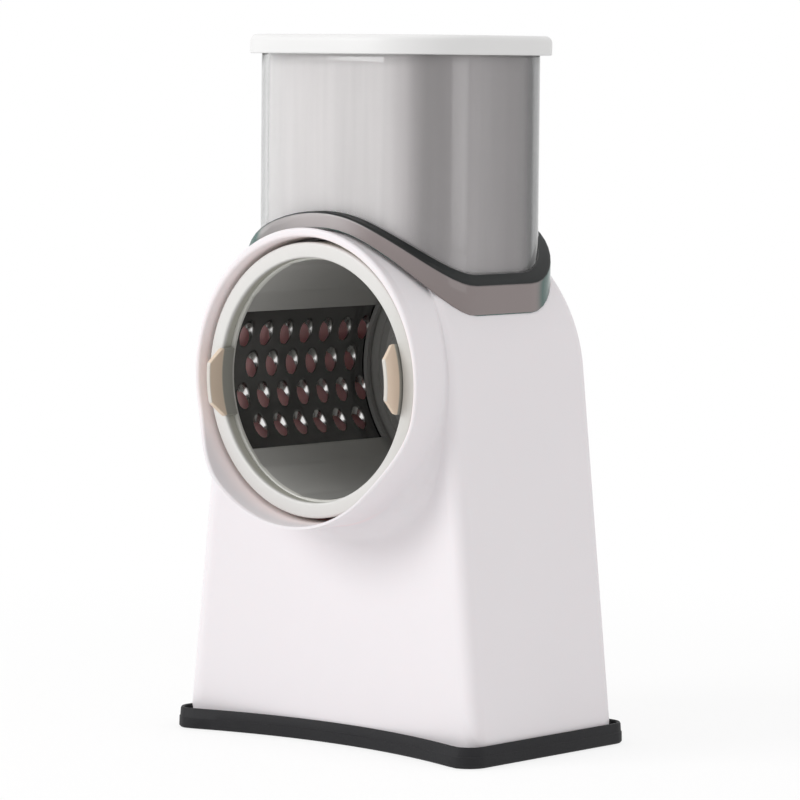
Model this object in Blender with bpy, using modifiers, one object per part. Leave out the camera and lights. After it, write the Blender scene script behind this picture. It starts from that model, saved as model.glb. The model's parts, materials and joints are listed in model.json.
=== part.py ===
"""Rotary vegetable cutter: a hand cranked grating drum in a tall housing on a suction base.

X runs across the machine, Y runs from the drum's open mouth (-Y) to the crank (+Y), Z is up.
The origin is on the standing surface, under the middle of the housing.
"""

import math

import bmesh
import bpy
from mathutils import Euler, Matrix, Vector

MM = 0.001

# Driving dimensions of the whole machine
AXIS_HEIGHT = 142.5 * MM
RING_RADIUS = 53.0 * MM
FOOT_HALF_WIDTH = 76.1 * MM
HOUSING_FRONT = -41.0 * MM
HOUSING_BACK = 45.5 * MM
HOUSING_BOTTOM = 5.8 * MM
MOUTH_FRONT = -55.2 * MM
CHIN_REACH = 7.8 * MM
SHELL_WALL = 2.8 * MM
HOPPER_SIDE_INSET = 2.0 * MM
HOPPER_HALF_DEPTH = 42.7 * MM
HOPPER_CORNER = 29.8 * MM
HOPPER_TOP = 267.7 * MM
SHAFT_RADIUS = 6.0 * MM
CRANK_THROW = 78.0 * MM

# Sizes of the drum's mouth, chamber and chute that follow from them
MOUTH_GAP = 1.5 * MM
MOUTH_WALL = 2.9 * MM
RING_BAND = 6.0 * MM
RING_RECESS = 3.7 * MM
ARCH_MARGIN = 3.6 * MM
ARCH_DROP = 3.0 * MM
CHAMBER_WALL = 4.0 * MM
MOUTH_RADIUS = RING_RADIUS + MOUTH_GAP
RING_BORE = RING_RADIUS - RING_BAND
RING_FRONT = MOUTH_FRONT + RING_RECESS
ARCH_RADIUS = MOUTH_RADIUS + MOUTH_WALL + ARCH_MARGIN
ARCH_HEIGHT = AXIS_HEIGHT - ARCH_DROP
CHAMBER_BACK = HOUSING_BACK - CHAMBER_WALL
HOPPER_HALF_WIDTH = RING_RADIUS - HOPPER_SIDE_INSET

# Clearances and overruns shared by what fits together
TOUCH_GAP = 0.3 * MM
RUNNING_GAP = 0.3 * MM
OVERRUN = 8.0 * MM
WELD = 0.001 * MM
ROUND_STEPS = 60
SMALL_STEPS = 32
SHADE_ANGLE = math.radians(35)

RIGHT = math.pi / 2
FULL_TURN = 2 * math.pi

for old in list(bpy.data.objects):
    bpy.data.objects.remove(old, do_unlink=True)

parts = bpy.data.collections.new("rotary_vegetable_cutter")
cutters = bpy.data.collections.new("cutters")
bpy.context.scene.collection.children.link(parts)
bpy.context.scene.collection.children.link(cutters)


def make_material(name, colour, roughness, metallic=0.0, alpha=1.0):
    made = bpy.data.materials.new(name)
    made.use_nodes = True
    shader = made.node_tree.nodes["Principled BSDF"]
    shader.inputs["Base Color"].default_value = (*colour, 1.0)
    shader.inputs["Roughness"].default_value = roughness
    shader.inputs["Metallic"].default_value = metallic
    shader.inputs["Alpha"].default_value = alpha
    return made


def blush_plastic(name):
    return make_material(name, (0.87, 0.83, 0.85), 0.3)


def white_plastic(name):
    return make_material(name, (0.86, 0.86, 0.85), 0.35)


def grey_plastic(name):
    return make_material(name, (0.33, 0.33, 0.31), 0.4)


def black_rubber(name):
    return make_material(name, (0.035, 0.037, 0.04), 0.65)


def smoked_plastic(name):
    return make_material(name, (0.3, 0.31, 0.31), 0.12, alpha=0.45)


def steel(name):
    return make_material(name, (0.6, 0.6, 0.6), 0.25, metallic=1.0)


def cream_plastic(name):
    return make_material(name, (0.6, 0.53, 0.44), 0.45)


def as_cutter(obj):
    obj.hide_render = True
    obj.display_type = "WIRE"
    return obj


def add_mesh(name, mesh, made=None):
    """An object in the parts with its material, or in the cutters when it has none."""
    obj = bpy.data.objects.new(name, mesh)
    if made is None:
        cutters.objects.link(obj)
        return as_cutter(obj)
    parts.objects.link(obj)
    mesh.materials.clear()
    mesh.materials.append(made(name))
    mesh.shade_smooth()
    mesh.set_sharp_from_angle(angle=SHADE_ANGLE)
    return obj


def curve_as_mesh(curve):
    """The evaluated curve as a welded mesh; the curve object is removed."""
    guide = bpy.data.objects.new("guide", curve)
    bpy.context.scene.collection.objects.link(guide)
    graph = bpy.context.evaluated_depsgraph_get()
    mesh = bpy.data.meshes.new_from_object(guide.evaluated_get(graph))
    bpy.data.objects.remove(guide)
    shape = bmesh.new()
    shape.from_mesh(mesh)
    bmesh.ops.remove_doubles(shape, verts=shape.verts, dist=WELD)
    bmesh.ops.recalc_face_normals(shape, faces=shape.faces)
    shape.to_mesh(mesh)
    shape.free()
    return mesh


def prism(name, outlines, low, high, axis="Z", made=None, edge_radius=0.0, edge_steps=3):
    """A flat outline (with holes, if more than one is given) swept straight from low to high."""
    curve = bpy.data.curves.new(name, "CURVE")
    curve.dimensions = "2D"
    curve.fill_mode = "BOTH"
    curve.extrude = (high - low) / 2 - edge_radius
    curve.bevel_depth = edge_radius
    curve.bevel_resolution = edge_steps
    curve.offset = -edge_radius
    for outline in outlines:
        spline = curve.splines.new("POLY")
        spline.points.add(len(outline) - 1)
        for point, (across, along) in zip(spline.points, outline):
            point.co = (across, along, 0, 1)
        spline.use_cyclic_u = True
    mesh = curve_as_mesh(curve)
    middle = (low + high) / 2
    if axis == "Z":
        place = Matrix.Translation((0, 0, middle))
    elif axis == "Y":
        place = Matrix.Translation((0, middle, 0)) @ Matrix.Rotation(RIGHT, 4, "X")
    else:
        turn = Matrix(((0, 0, 1, 0), (1, 0, 0, 0), (0, 1, 0, 0), (0, 0, 0, 1)))
        place = Matrix.Translation((middle, 0, 0)) @ turn
    mesh.transform(place)
    return add_mesh(name, mesh, made)


def turned(name, profile, centre, axis="Y", made=None, steps=ROUND_STEPS, closed=False):
    """A lathe shape. The profile holds (radius, place along the axis), down its outer side."""
    mesh = bpy.data.meshes.new(name)
    count = len(profile)
    edges = [(i, i + 1) for i in range(count - 1)]
    if closed:
        edges.append((count - 1, 0))
    mesh.from_pydata([(radius, 0, along) for radius, along in profile], edges, [])
    obj = add_mesh(name, mesh, made)
    screw = obj.modifiers.new("Turn", "SCREW")
    screw.axis = "Z"
    screw.angle = FULL_TURN
    screw.steps = steps
    screw.render_steps = steps
    screw.use_merge_vertices = True
    screw.merge_threshold = WELD
    screw.use_smooth_shade = True
    obj.location = centre
    if axis == "Y":
        obj.rotation_euler = (-RIGHT, 0, 0)
    elif axis == "X":
        obj.rotation_euler = (0, RIGHT, 0)
    return obj


def rod(name, radius, low, high, centre, axis="Y", made=None, steps=SMALL_STEPS, edge=0.0):
    """A round bar from low to high along its axis, with an optional chamfer at both ends."""
    profile = [(0, high), (radius - edge, high)]
    if edge:
        profile += [(radius, high - edge), (radius, low + edge)]
    profile += [(radius - edge, low), (0, low)]
    return turned(name, profile, centre, axis, made, steps)


def tube(name, outer, inner, low, high, centre, axis="Y", made=None, steps=ROUND_STEPS, edge=0.0):
    """A ring of square section, with an optional chamfer on its outer edges."""
    if edge:
        profile = [(inner, high), (outer - edge, high), (outer, high - edge)]
        profile += [(outer, low + edge), (outer - edge, low), (inner, low)]
    else:
        profile = [(inner, high), (outer, high), (outer, low), (inner, low)]
    return turned(name, profile, centre, axis, made, steps, closed=True)


def box(name, low, high, made=None):
    """A block between two corners."""
    shape = bmesh.new()
    bmesh.ops.create_cube(shape, size=1.0)
    size = Vector(high) - Vector(low)
    middle = (Vector(high) + Vector(low)) / 2
    shape.transform(Matrix.Translation(middle) @ Matrix.Diagonal((*size, 1)))
    mesh = bpy.data.meshes.new(name)
    shape.to_mesh(mesh)
    shape.free()
    return add_mesh(name, mesh, made)


# The housing's many round cuts meet in slivers that only the manifold solver closes
MANIFOLD_NODES = ("housing",)


def combine(target, tool, operation):
    boolean = target.modifiers.new(f"{operation.title()} {tool.name}", "BOOLEAN")
    boolean.operation = operation
    boolean.object = tool
    boolean.solver = "MANIFOLD" if target.name in MANIFOLD_NODES else "EXACT"
    return target


def cut(target, *tools):
    for tool in tools:
        combine(target, tool, "DIFFERENCE")
    return target


def join(target, *tools):
    for tool in tools:
        combine(target, tool, "UNION")
    return target


def keep_inside(target, tool):
    return combine(target, tool, "INTERSECT")


def arc(centre_x, centre_y, radius, start, end, steps):
    """Points along an arc, both ends included."""
    points = []
    for step in range(steps + 1):
        angle = start + (end - start) * step / steps
        points.append((centre_x + radius * math.cos(angle), centre_y + radius * math.sin(angle)))
    return points


def rounded_outline(half_width, half_depth, corner, middle=0.0, steps=8):
    """A rectangle with round corners, seen from above."""
    across = half_width - corner
    along = half_depth - corner
    outline = arc(across, middle + along, corner, 0, RIGHT, steps)
    outline += arc(-across, middle + along, corner, RIGHT, 2 * RIGHT, steps)
    outline += arc(-across, middle - along, corner, 2 * RIGHT, 3 * RIGHT, steps)
    outline += arc(across, middle - along, corner, 3 * RIGHT, 4 * RIGHT, steps)
    return outline


# Plan of the hollowed front, shared by the housing and the base tray
FRONT_HOLLOW = 8.5 * MM
FRONT_CHORD = FOOT_HALF_WIDTH - 6.1 * MM
FRONT_STEPS = 16


def hollow_at(across, depth):
    """How far back the hollowed front lies at this distance from the middle."""
    return depth * (1 - (across / FRONT_CHORD) ** 2)


def footprint(half_width, front, back, corner, depth, steps=5):
    """The plan of the base: round corners and a hollowed front."""
    across = half_width - corner
    outline = arc(across, back - corner, corner, 0, RIGHT, steps)
    outline += arc(-across, back - corner, corner, RIGHT, 2 * RIGHT, steps)
    outline += arc(-across, front + corner, corner, 2 * RIGHT, 3 * RIGHT, steps)
    for step in range(1, FRONT_STEPS):
        place = across * (2 * step / FRONT_STEPS - 1)
        outline.append((place, front + depth * (1 - (place / across) ** 2)))
    outline += arc(across, front + corner, corner, 3 * RIGHT, 4 * RIGHT, steps)
    return outline


def leg_lean():
    """The lean of the straight sides, which run from the foot to touch the arch."""
    drop = ARCH_HEIGHT - HOUSING_BOTTOM
    reach = math.hypot(FOOT_HALF_WIDTH, drop)
    return math.atan2(FOOT_HALF_WIDTH, drop) - math.asin(ARCH_RADIUS / reach)


def front_outline(grow, low, steps=32):
    """The front view of the housing: an arch on two leaning legs, grown outwards, down to low."""
    lean = leg_lean()
    radius = ARCH_RADIUS + grow
    touch_x = radius * math.cos(lean)
    touch_z = ARCH_HEIGHT + radius * math.sin(lean)
    foot_x = touch_x + (touch_z - low) * math.tan(lean)
    outline = [(foot_x, low)]
    outline += arc(0, ARCH_HEIGHT, radius, lean, 2 * RIGHT - lean, steps)
    outline.append((-foot_x, low))
    return outline


# Housing
EDGE_RADIUS = 7.5 * MM
MOUTH_EDGE = 1.0 * MM
CHIN_START = math.radians(12)
CHIN_FULL = math.radians(48)
CAVITY_DROP = 18.5 * MM
FEED_SHARE = 0.4811
FEED_RISE = RING_RADIUS * FEED_SHARE
FEED_GAP = 0.6 * MM
BUSH_WALL = 3.0 * MM
BUSH_RADIUS = SHAFT_RADIUS + BUSH_WALL
BUSH_SEAT_GAP = 0.3 * MM
SLOT_HALF_WIDTH = 9.0 * MM
SLOT_LOW = 13.0 * MM
SLOT_HIGH = 37.0 * MM
BOSS_RADIUS = 4.5 * MM
BOSS_TOP = 22.0 * MM
BOSS_SIDE_INSET = 7.6 * MM
BOSS_FRONT_INSET = 14.0 * MM
BOSS_BACK_INSET = 10.5 * MM
SCREW_RADIUS = 1.5 * MM
SCREW_HOLE_GAP = 0.15 * MM
SCREW_TIP = 17.0 * MM

axis_point = (0, 0, AXIS_HEIGHT)
mouth_outer = MOUTH_RADIUS + MOUTH_WALL
cavity_top = AXIS_HEIGHT - CAVITY_DROP
feed_floor = AXIS_HEIGHT + FEED_RISE
screw_across = FOOT_HALF_WIDTH - BOSS_SIDE_INSET
screw_rows = (HOUSING_FRONT + BOSS_FRONT_INSET, HOUSING_BACK - BOSS_BACK_INSET)
screw_places = [(side * screw_across, place) for side in (-1, 1) for place in screw_rows]


def envelope(name, made=None):
    """The outer block of the housing before it is hollowed."""
    outline = front_outline(0.0, HOUSING_BOTTOM - EDGE_RADIUS - OVERRUN)
    return prism(name, [outline], HOUSING_FRONT, HOUSING_BACK, "Y", made, edge_radius=EDGE_RADIUS)


def hollow_front_cutter(name, shift):
    """The bowl-shaped hollow of the front, moved back by a wall where shift is given."""
    side = FOOT_HALF_WIDTH + OVERRUN
    outline = [(-side, HOUSING_FRONT - OVERRUN), (side, HOUSING_FRONT - OVERRUN)]
    outline.append((side, HOUSING_FRONT + shift))
    for step in range(FRONT_STEPS + 1):
        place = FRONT_CHORD * (1 - 2 * step / FRONT_STEPS)
        outline.append((place, HOUSING_FRONT + shift + hollow_at(place, FRONT_HOLLOW)))
    outline.append((-side, HOUSING_FRONT + shift))
    top = ARCH_HEIGHT + ARCH_RADIUS + OVERRUN
    return prism(name, [outline], HOUSING_BOTTOM - OVERRUN, top)


def hopper_outline(grow):
    """The plan of the feed chute, grown outwards by a wall or a clearance."""
    return rounded_outline(
        HOPPER_HALF_WIDTH + grow, HOPPER_HALF_DEPTH + grow, HOPPER_CORNER + grow
    )


def rim_front(angle):
    """Where the mouth's rim ends at this angle: its lower part stands further out, as a chin."""
    below = math.asin(max(0.0, -math.sin(angle)))
    share = min(max((below - CHIN_START) / (CHIN_FULL - CHIN_START), 0.0), 1.0)
    return MOUTH_FRONT - CHIN_REACH * share * share * (3 - 2 * share)


def mouth_tube(name):
    """The solid stub that the drum's mouth is bored in."""
    shape = bmesh.new()
    rows = []
    for step in range(ROUND_STEPS):
        angle = FULL_TURN * step / ROUND_STEPS
        front = rim_front(angle)
        profile = [(mouth_outer, 0), (mouth_outer, front + MOUTH_EDGE)]
        profile += [(mouth_outer - MOUTH_EDGE, front), (MOUTH_RADIUS - MOUTH_EDGE, front)]
        rows.append(
            [
                shape.verts.new((radius * math.cos(angle), along, AXIS_HEIGHT + radius * math.sin(angle)))
                for radius, along in profile
            ]
        )
    back_middle = shape.verts.new(axis_point)
    front_middle = shape.verts.new((0, MOUTH_FRONT, AXIS_HEIGHT))
    for step in range(ROUND_STEPS):
        row = rows[step]
        following = rows[(step + 1) % ROUND_STEPS]
        for place in range(len(row) - 1):
            shape.faces.new((row[place], following[place], following[place + 1], row[place + 1]))
        shape.faces.new((back_middle, following[0], row[0]))
        shape.faces.new((front_middle, row[-1], following[-1]))
    bmesh.ops.recalc_face_normals(shape, faces=shape.faces)
    mesh = bpy.data.meshes.new(name)
    shape.to_mesh(mesh)
    shape.free()
    return add_mesh(name, mesh)


def build_housing():
    housing = envelope("housing", blush_plastic)
    side = FOOT_HALF_WIDTH + 2 * OVERRUN
    below = box(
        "housing_below",
        (-side, HOUSING_FRONT - OVERRUN, HOUSING_BOTTOM - 4 * OVERRUN),
        (side, HOUSING_BACK + OVERRUN, HOUSING_BOTTOM),
    )
    mouth = mouth_tube("mouth_tube")
    before_chin = MOUTH_FRONT - CHIN_REACH - OVERRUN
    bore_profile = [(0, CHAMBER_BACK), (MOUTH_RADIUS, CHAMBER_BACK)]
    bore_profile += [(MOUTH_RADIUS, before_chin), (0, before_chin)]
    bore = turned("drum_chamber", bore_profile, axis_point)

    cavity = prism(
        "leg_cavity",
        [front_outline(-SHELL_WALL, HOUSING_BOTTOM - OVERRUN)],
        HOUSING_FRONT + SHELL_WALL,
        HOUSING_BACK - SHELL_WALL,
        "Y",
    )
    above = box(
        "cavity_above",
        (-side, HOUSING_FRONT - OVERRUN, cavity_top),
        (side, HOUSING_BACK + OVERRUN, ARCH_HEIGHT + ARCH_RADIUS + OVERRUN),
    )
    chamber_wall = rod(
        "chamber_wall",
        mouth_outer,
        HOUSING_FRONT - OVERRUN,
        HOUSING_BACK + OVERRUN,
        axis_point,
        steps=ROUND_STEPS,
    )
    cut(cavity, above, hollow_front_cutter("inner_hollow_front", SHELL_WALL), chamber_wall)

    feed = prism("feed_opening", [hopper_outline(FEED_GAP)], feed_floor, HOPPER_TOP)
    bush_hole = rod(
        "bush_hole",
        BUSH_RADIUS + BUSH_SEAT_GAP,
        CHAMBER_BACK - OVERRUN,
        HOUSING_BACK + OVERRUN,
        axis_point,
        steps=SMALL_STEPS,
    )
    slot = box(
        "lever_slot",
        (-SLOT_HALF_WIDTH, HOUSING_BACK - SHELL_WALL - OVERRUN, SLOT_LOW),
        (SLOT_HALF_WIDTH, HOUSING_BACK + OVERRUN, SLOT_HIGH),
    )
    cut(housing, below, hollow_front_cutter("hollow_front", 0.0))
    join(housing, mouth)
    cut(housing, cavity, bore, feed, bush_hole, slot)
    for index, (across, along) in enumerate(screw_places, start=1):
        centre = (across, along, 0)
        boss = rod(f"boss_{index}", BOSS_RADIUS, HOUSING_BOTTOM, BOSS_TOP, centre, "Z", steps=24)
        join(housing, boss)
    for index, (across, along) in enumerate(screw_places, start=1):
        hole = rod(
            f"boss_hole_{index}",
            SCREW_RADIUS + SCREW_HOLE_GAP,
            HOUSING_BOTTOM - OVERRUN,
            SCREW_TIP + SCREW_RADIUS,
            (across, along, 0),
            "Z",
            steps=12,
        )
        cut(housing, hole)
    return housing


# Base tray
TRAY_SIDE_MARGIN = 2.3 * MM
TRAY_FRONT_MARGIN = 5.4 * MM
TRAY_BACK_MARGIN = 5.5 * MM
TRAY_CORNER = 9.0 * MM
TRAY_HOLLOW = 12.0 * MM
TRAY_HEIGHT = 8.0 * MM
TRAY_STEP_HEIGHT = 4.6 * MM
TRAY_STEP = 0.4 * MM
TRAY_FLOOR_LOW = 3.6 * MM
TRAY_FLOOR_HIGH = 5.5 * MM
TRAY_RIM = 3.0 * MM
SEAT_GAP = 0.3 * MM
PAD_CENTRE = 8.0 * MM
STEM_RADIUS = 4.4 * MM
STEM_HOLE_GAP = 0.5 * MM
SCREW_HEAD_RADIUS = 3.1 * MM
SCREW_HEAD_LOW = 0.6 * MM
FLOOR_HOLE_GAP = 0.4 * MM

tray_half_width = FOOT_HALF_WIDTH + TRAY_SIDE_MARGIN
tray_front = HOUSING_FRONT - TRAY_FRONT_MARGIN
tray_back = HOUSING_BACK + TRAY_BACK_MARGIN


def build_tray():
    lower = footprint(tray_half_width, tray_front, tray_back, TRAY_CORNER, TRAY_HOLLOW)
    upper = footprint(
        tray_half_width - TRAY_STEP,
        tray_front + TRAY_STEP,
        tray_back - TRAY_STEP,
        TRAY_CORNER - TRAY_STEP,
        TRAY_HOLLOW,
    )
    tray = prism("base_tray", [lower], 0, TRAY_STEP_HEIGHT, made=black_rubber)
    join(tray, prism("tray_upper", [upper], TRAY_FLOOR_LOW, TRAY_HEIGHT))
    seat = footprint(
        FOOT_HALF_WIDTH + SEAT_GAP,
        HOUSING_FRONT - SEAT_GAP,
        HOUSING_BACK + SEAT_GAP,
        EDGE_RADIUS,
        FRONT_HOLLOW,
    )
    cut(tray, prism("housing_seat", [seat], TRAY_FLOOR_HIGH, TRAY_HEIGHT + OVERRUN))
    under = footprint(
        tray_half_width - TRAY_RIM,
        tray_front + TRAY_RIM,
        tray_back - TRAY_RIM,
        TRAY_CORNER - TRAY_RIM,
        TRAY_HOLLOW,
    )
    cut(tray, prism("tray_underside", [under], -OVERRUN, TRAY_FLOOR_LOW))
    stem_hole = rod(
        "stem_hole",
        STEM_RADIUS + STEM_HOLE_GAP,
        -OVERRUN,
        TRAY_FLOOR_HIGH + OVERRUN,
        (0, PAD_CENTRE, 0),
        "Z",
    )
    cut(tray, stem_hole)
    for index, (across, along) in enumerate(screw_places, start=1):
        hole = rod(
            f"tray_hole_{index}",
            SCREW_RADIUS + FLOOR_HOLE_GAP,
            -OVERRUN,
            TRAY_FLOOR_HIGH + OVERRUN,
            (across, along, 0),
            "Z",
            steps=12,
        )
        cut(tray, hole)
    return tray


def build_screws():
    head_top = TRAY_FLOOR_LOW - TOUCH_GAP
    for index, (across, along) in enumerate(screw_places, start=1):
        profile = [(0, SCREW_TIP), (SCREW_RADIUS, SCREW_TIP - SCREW_RADIUS)]
        profile += [(SCREW_RADIUS, head_top), (SCREW_HEAD_RADIUS, head_top)]
        profile += [(SCREW_HEAD_RADIUS, SCREW_HEAD_LOW), (0, SCREW_HEAD_LOW)]
        turned(f"base_screw_{index}", profile, (across, along, 0), "Z", steel, steps=16)


# Suction pad, its pull stem and the cam lever that lifts it
PAD_RADIUS = 34.0 * MM
PAD_RIM = 1.0 * MM
PAD_BOSS_RADIUS = 12.0 * MM
PAD_TOP = 1.3 * MM
STEM_TOP = 24.5 * MM
PIN_HEIGHT = 18.0 * MM
PIN_RADIUS = 1.5 * MM
PIN_HOLE_GAP = 0.25 * MM
WASHER_RADIUS = 13.0 * MM
WASHER_THICKNESS = 1.0 * MM
CAM_OFFSET = 5.9 * MM
CHEEK_INNER = 5.2 * MM
CHEEK_OUTER = 8.2 * MM
LEVER_THICKNESS = 5.0 * MM
LEVER_FORK = 16.0 * MM
PADDLE_REACH = 8.5 * MM
LEVER_REACH = 24.5 * MM
PADDLE_START = HOUSING_BACK + PADDLE_REACH
LEVER_END = HOUSING_BACK + LEVER_REACH
PADDLE_HALF_WIDTH = 14.0 * MM
PADDLE_CORNER = 5.0 * MM
LEVER_HALF_WIDTH = 8.2 * MM
pad_point = (0, PAD_CENTRE, 0)


def build_suction():
    pad_profile = [(0, PAD_TOP), (PAD_BOSS_RADIUS, PAD_TOP), (PAD_RADIUS, PAD_RIM)]
    pad_profile += [(PAD_RADIUS, 0), (0, 0)]
    turned("suction_pad", pad_profile, pad_point, "Z", black_rubber, steps=48)

    stem_bottom = PAD_TOP + TOUCH_GAP
    chamfer = PIN_RADIUS / 2
    stem = rod("pull_stem", STEM_RADIUS, stem_bottom, STEM_TOP, pad_point, "Z", steel, edge=chamfer)
    pin_hole = rod(
        "pin_hole",
        PIN_RADIUS + PIN_HOLE_GAP,
        -CHEEK_OUTER - OVERRUN,
        CHEEK_OUTER + OVERRUN,
        (0, PAD_CENTRE, PIN_HEIGHT),
        "X",
        steps=16,
    )
    cut(stem, pin_hole)

    washer_low = TRAY_FLOOR_HIGH + TOUCH_GAP
    washer_high = washer_low + WASHER_THICKNESS
    tube(
        "cam_washer",
        WASHER_RADIUS,
        STEM_RADIUS + STEM_HOLE_GAP,
        washer_low,
        washer_high,
        pad_point,
        "Z",
        steel,
        steps=SMALL_STEPS,
    )

    cam_radius = PIN_HEIGHT - washer_high - TOUCH_GAP
    cam_centre = (0, PAD_CENTRE - CAM_OFFSET, PIN_HEIGHT)
    half = LEVER_THICKNESS / 2
    arm = box(
        "suction_lever",
        (-LEVER_HALF_WIDTH, PAD_CENTRE + LEVER_FORK, PIN_HEIGHT - half),
        (LEVER_HALF_WIDTH, PADDLE_START + half, PIN_HEIGHT + half),
        white_plastic,
    )
    paddle_middle = (PADDLE_START + LEVER_END) / 2
    paddle = rounded_outline(
        PADDLE_HALF_WIDTH, LEVER_END - paddle_middle, PADDLE_CORNER, paddle_middle, steps=5
    )
    join(arm, prism("lever_paddle", [paddle], PIN_HEIGHT - half, PIN_HEIGHT + half))
    for side, name in ((-1, "left"), (1, "right")):
        inner, outer = sorted((side * CHEEK_INNER, side * CHEEK_OUTER))
        cam = rod(f"cam_{name}", cam_radius, inner, outer, cam_centre, "X", steps=40)
        cheek = box(
            f"cheek_{name}",
            (inner, PAD_CENTRE - CAM_OFFSET, PIN_HEIGHT - half),
            (outer, PAD_CENTRE + LEVER_FORK + half, PIN_HEIGHT + half),
        )
        join(arm, cam, cheek)
    cut(arm, pin_hole)
    rod(
        "lever_pin",
        PIN_RADIUS,
        -CHEEK_OUTER,
        CHEEK_OUTER,
        (0, PAD_CENTRE, PIN_HEIGHT),
        "X",
        steel,
        steps=16,
    )


# Smoked hopper: the chute, its shoulder and the skirt that saddles the housing
CHUTE_WALL = 2.3 * MM
SKIRT_SIDE_MARGIN = 3.2 * MM
SKIRT_END_MARGIN = 5.4 * MM
SKIRT_CORNER_MARGIN = 2.2 * MM
SKIRT_WALL = 2.3 * MM
SHOULDER_RISE = 6.7 * MM
SHOULDER_WALL = 2.3 * MM
DRUM_CLEARANCE = 0.7 * MM


def along_y(name, radius, height, low, high):
    return rod(name, radius, low, high, (0, 0, height), steps=ROUND_STEPS)


def build_hopper():
    low = feed_floor + TOUCH_GAP
    skirt_low = ARCH_HEIGHT
    skirt_top = ARCH_HEIGHT + ARCH_RADIUS + SHOULDER_RISE + OVERRUN
    reach = HOPPER_HALF_DEPTH + 2 * OVERRUN
    shoulder_outer = ARCH_RADIUS + SHOULDER_RISE
    shoulder_inner = shoulder_outer - SHOULDER_WALL
    skirt_half_width = HOPPER_HALF_WIDTH + SKIRT_SIDE_MARGIN
    skirt_half_depth = HOPPER_HALF_DEPTH + SKIRT_END_MARGIN
    skirt_corner = HOPPER_CORNER + SKIRT_CORNER_MARGIN
    skirt_plan = rounded_outline(skirt_half_width, skirt_half_depth, skirt_corner)
    inner_plan = rounded_outline(
        skirt_half_width - SKIRT_WALL,
        skirt_half_depth - SKIRT_WALL,
        skirt_corner - SKIRT_WALL,
    )
    hopper = prism("hopper", [skirt_plan], skirt_low, skirt_top, made=smoked_plastic)
    keep_inside(hopper, along_y("shoulder", shoulder_outer, ARCH_HEIGHT, -reach, reach))
    under = prism("under_shoulder", [inner_plan], skirt_low - OVERRUN, skirt_top)
    keep_inside(under, along_y("under_arch", shoulder_inner, ARCH_HEIGHT, -reach, reach))
    saddle = along_y("saddle", ARCH_RADIUS + TOUCH_GAP, ARCH_HEIGHT, -reach, reach)
    cut(hopper, under, saddle)
    join(hopper, prism("chute", [hopper_outline(0.0)], low, HOPPER_TOP))
    chute_inside = prism(
        "chute_inside", [hopper_outline(-CHUTE_WALL)], low - OVERRUN, HOPPER_TOP + OVERRUN
    )
    drum_space = along_y(
        "drum_space", RING_RADIUS + DRUM_CLEARANCE, AXIS_HEIGHT, -reach, reach
    )
    cut(hopper, chute_inside, drum_space)
    return hopper


# Pusher: a hollow plunger with a curved press plate, closed by a snap-in lid
PUSHER_GAP = 0.8 * MM
PUSHER_WALL = 2.0 * MM
PRESS_CLEARANCE = 2.2 * MM
PRESS_PLATE = 2.2 * MM
LID_OVERHANG = 4.6 * MM
LID_THICKNESS = 6.8 * MM
LID_EDGE = 2.0 * MM
LID_PLUG_DEPTH = 7.0 * MM
LID_PLUG_WALL = 2.0 * MM


def build_pusher():
    reach = HOPPER_HALF_DEPTH + OVERRUN
    press_radius = RING_RADIUS + PRESS_CLEARANCE
    outer = -CHUTE_WALL - PUSHER_GAP
    inner = outer - PUSHER_WALL
    press_low = AXIS_HEIGHT + OVERRUN
    pusher = prism(
        "pusher_body", [hopper_outline(outer)], press_low, HOPPER_TOP, made=white_plastic
    )
    cut(pusher, along_y("press_curve", press_radius, AXIS_HEIGHT, -reach, reach))
    hollow = prism("pusher_hollow", [hopper_outline(inner)], press_low, HOPPER_TOP + OVERRUN)
    plate_radius = press_radius + PRESS_PLATE
    cut(hollow, along_y("press_plate", plate_radius, AXIS_HEIGHT, -reach, reach))
    cut(pusher, hollow)

    lid_low = HOPPER_TOP + TOUCH_GAP
    lid_high = lid_low + LID_THICKNESS
    lid = prism(
        "pusher_lid",
        [hopper_outline(LID_OVERHANG)],
        lid_low - LID_THICKNESS,
        lid_high,
        made=white_plastic,
        edge_radius=LID_EDGE,
        edge_steps=2,
    )
    side = HOPPER_HALF_WIDTH + 2 * OVERRUN
    below = box("lid_below", (-side, -side, lid_low - 2 * OVERRUN), (side, side, lid_low))
    cut(lid, below)
    plug_outer = inner - TOUCH_GAP
    plug = prism("lid_plug", [hopper_outline(plug_outer)], lid_low - LID_PLUG_DEPTH, lid_high - LID_EDGE)
    plug_inside = prism(
        "plug_inside",
        [hopper_outline(plug_outer - LID_PLUG_WALL)],
        lid_low - LID_PLUG_DEPTH - OVERRUN,
        lid_low + LID_THICKNESS - LID_EDGE - LID_PLUG_WALL / 2,
    )
    join(lid, plug)
    cut(lid, plug_inside)


# Drum: front ring, slotted frame, three grating sheets, end plate and two pull tabs
RING_DEPTH = 5.0 * MM
RING_EDGE = 0.8 * MM
SLEEVE_DEPTH = 8.0 * MM
FRAME_STEP = 0.4 * MM
FRAME_WALL = 1.8 * MM
END_SPACE = 4.5 * MM
WINDOW_SHARE = 0.575
FRONT_HOOP = 1.8 * MM
BACK_HOOP = 2.6 * MM
WINDOW_LIP = 0.4 * MM
WINDOW_LIP_HALF_ANGLE = math.radians(44)
WINDOW_LIP_STEP = 0.15 * MM
SHEET_THICKNESS = 0.6 * MM
SHEET_HALF_ANGLE = math.radians(37)
SHEET_LAP = 1.5 * MM
SHEET_ARC_STEPS = 10
SHEET_ANGLES = (math.radians(180), math.radians(60), math.radians(-60))
DRUM_TURN = math.radians(3.8)
SHEET_MARGIN = 3.5 * MM
TOOTH_ROWS = 4
TOOTH_PITCH = 11.6 * MM
TOOTH_SHIFT = 2.65 * MM
TOOTH_ROW_PITCH = 12.4 * MM
TOOTH_HALF_WIDTH = 3.5 * MM
TOOTH_HALF_LENGTH = 5.2 * MM
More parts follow.
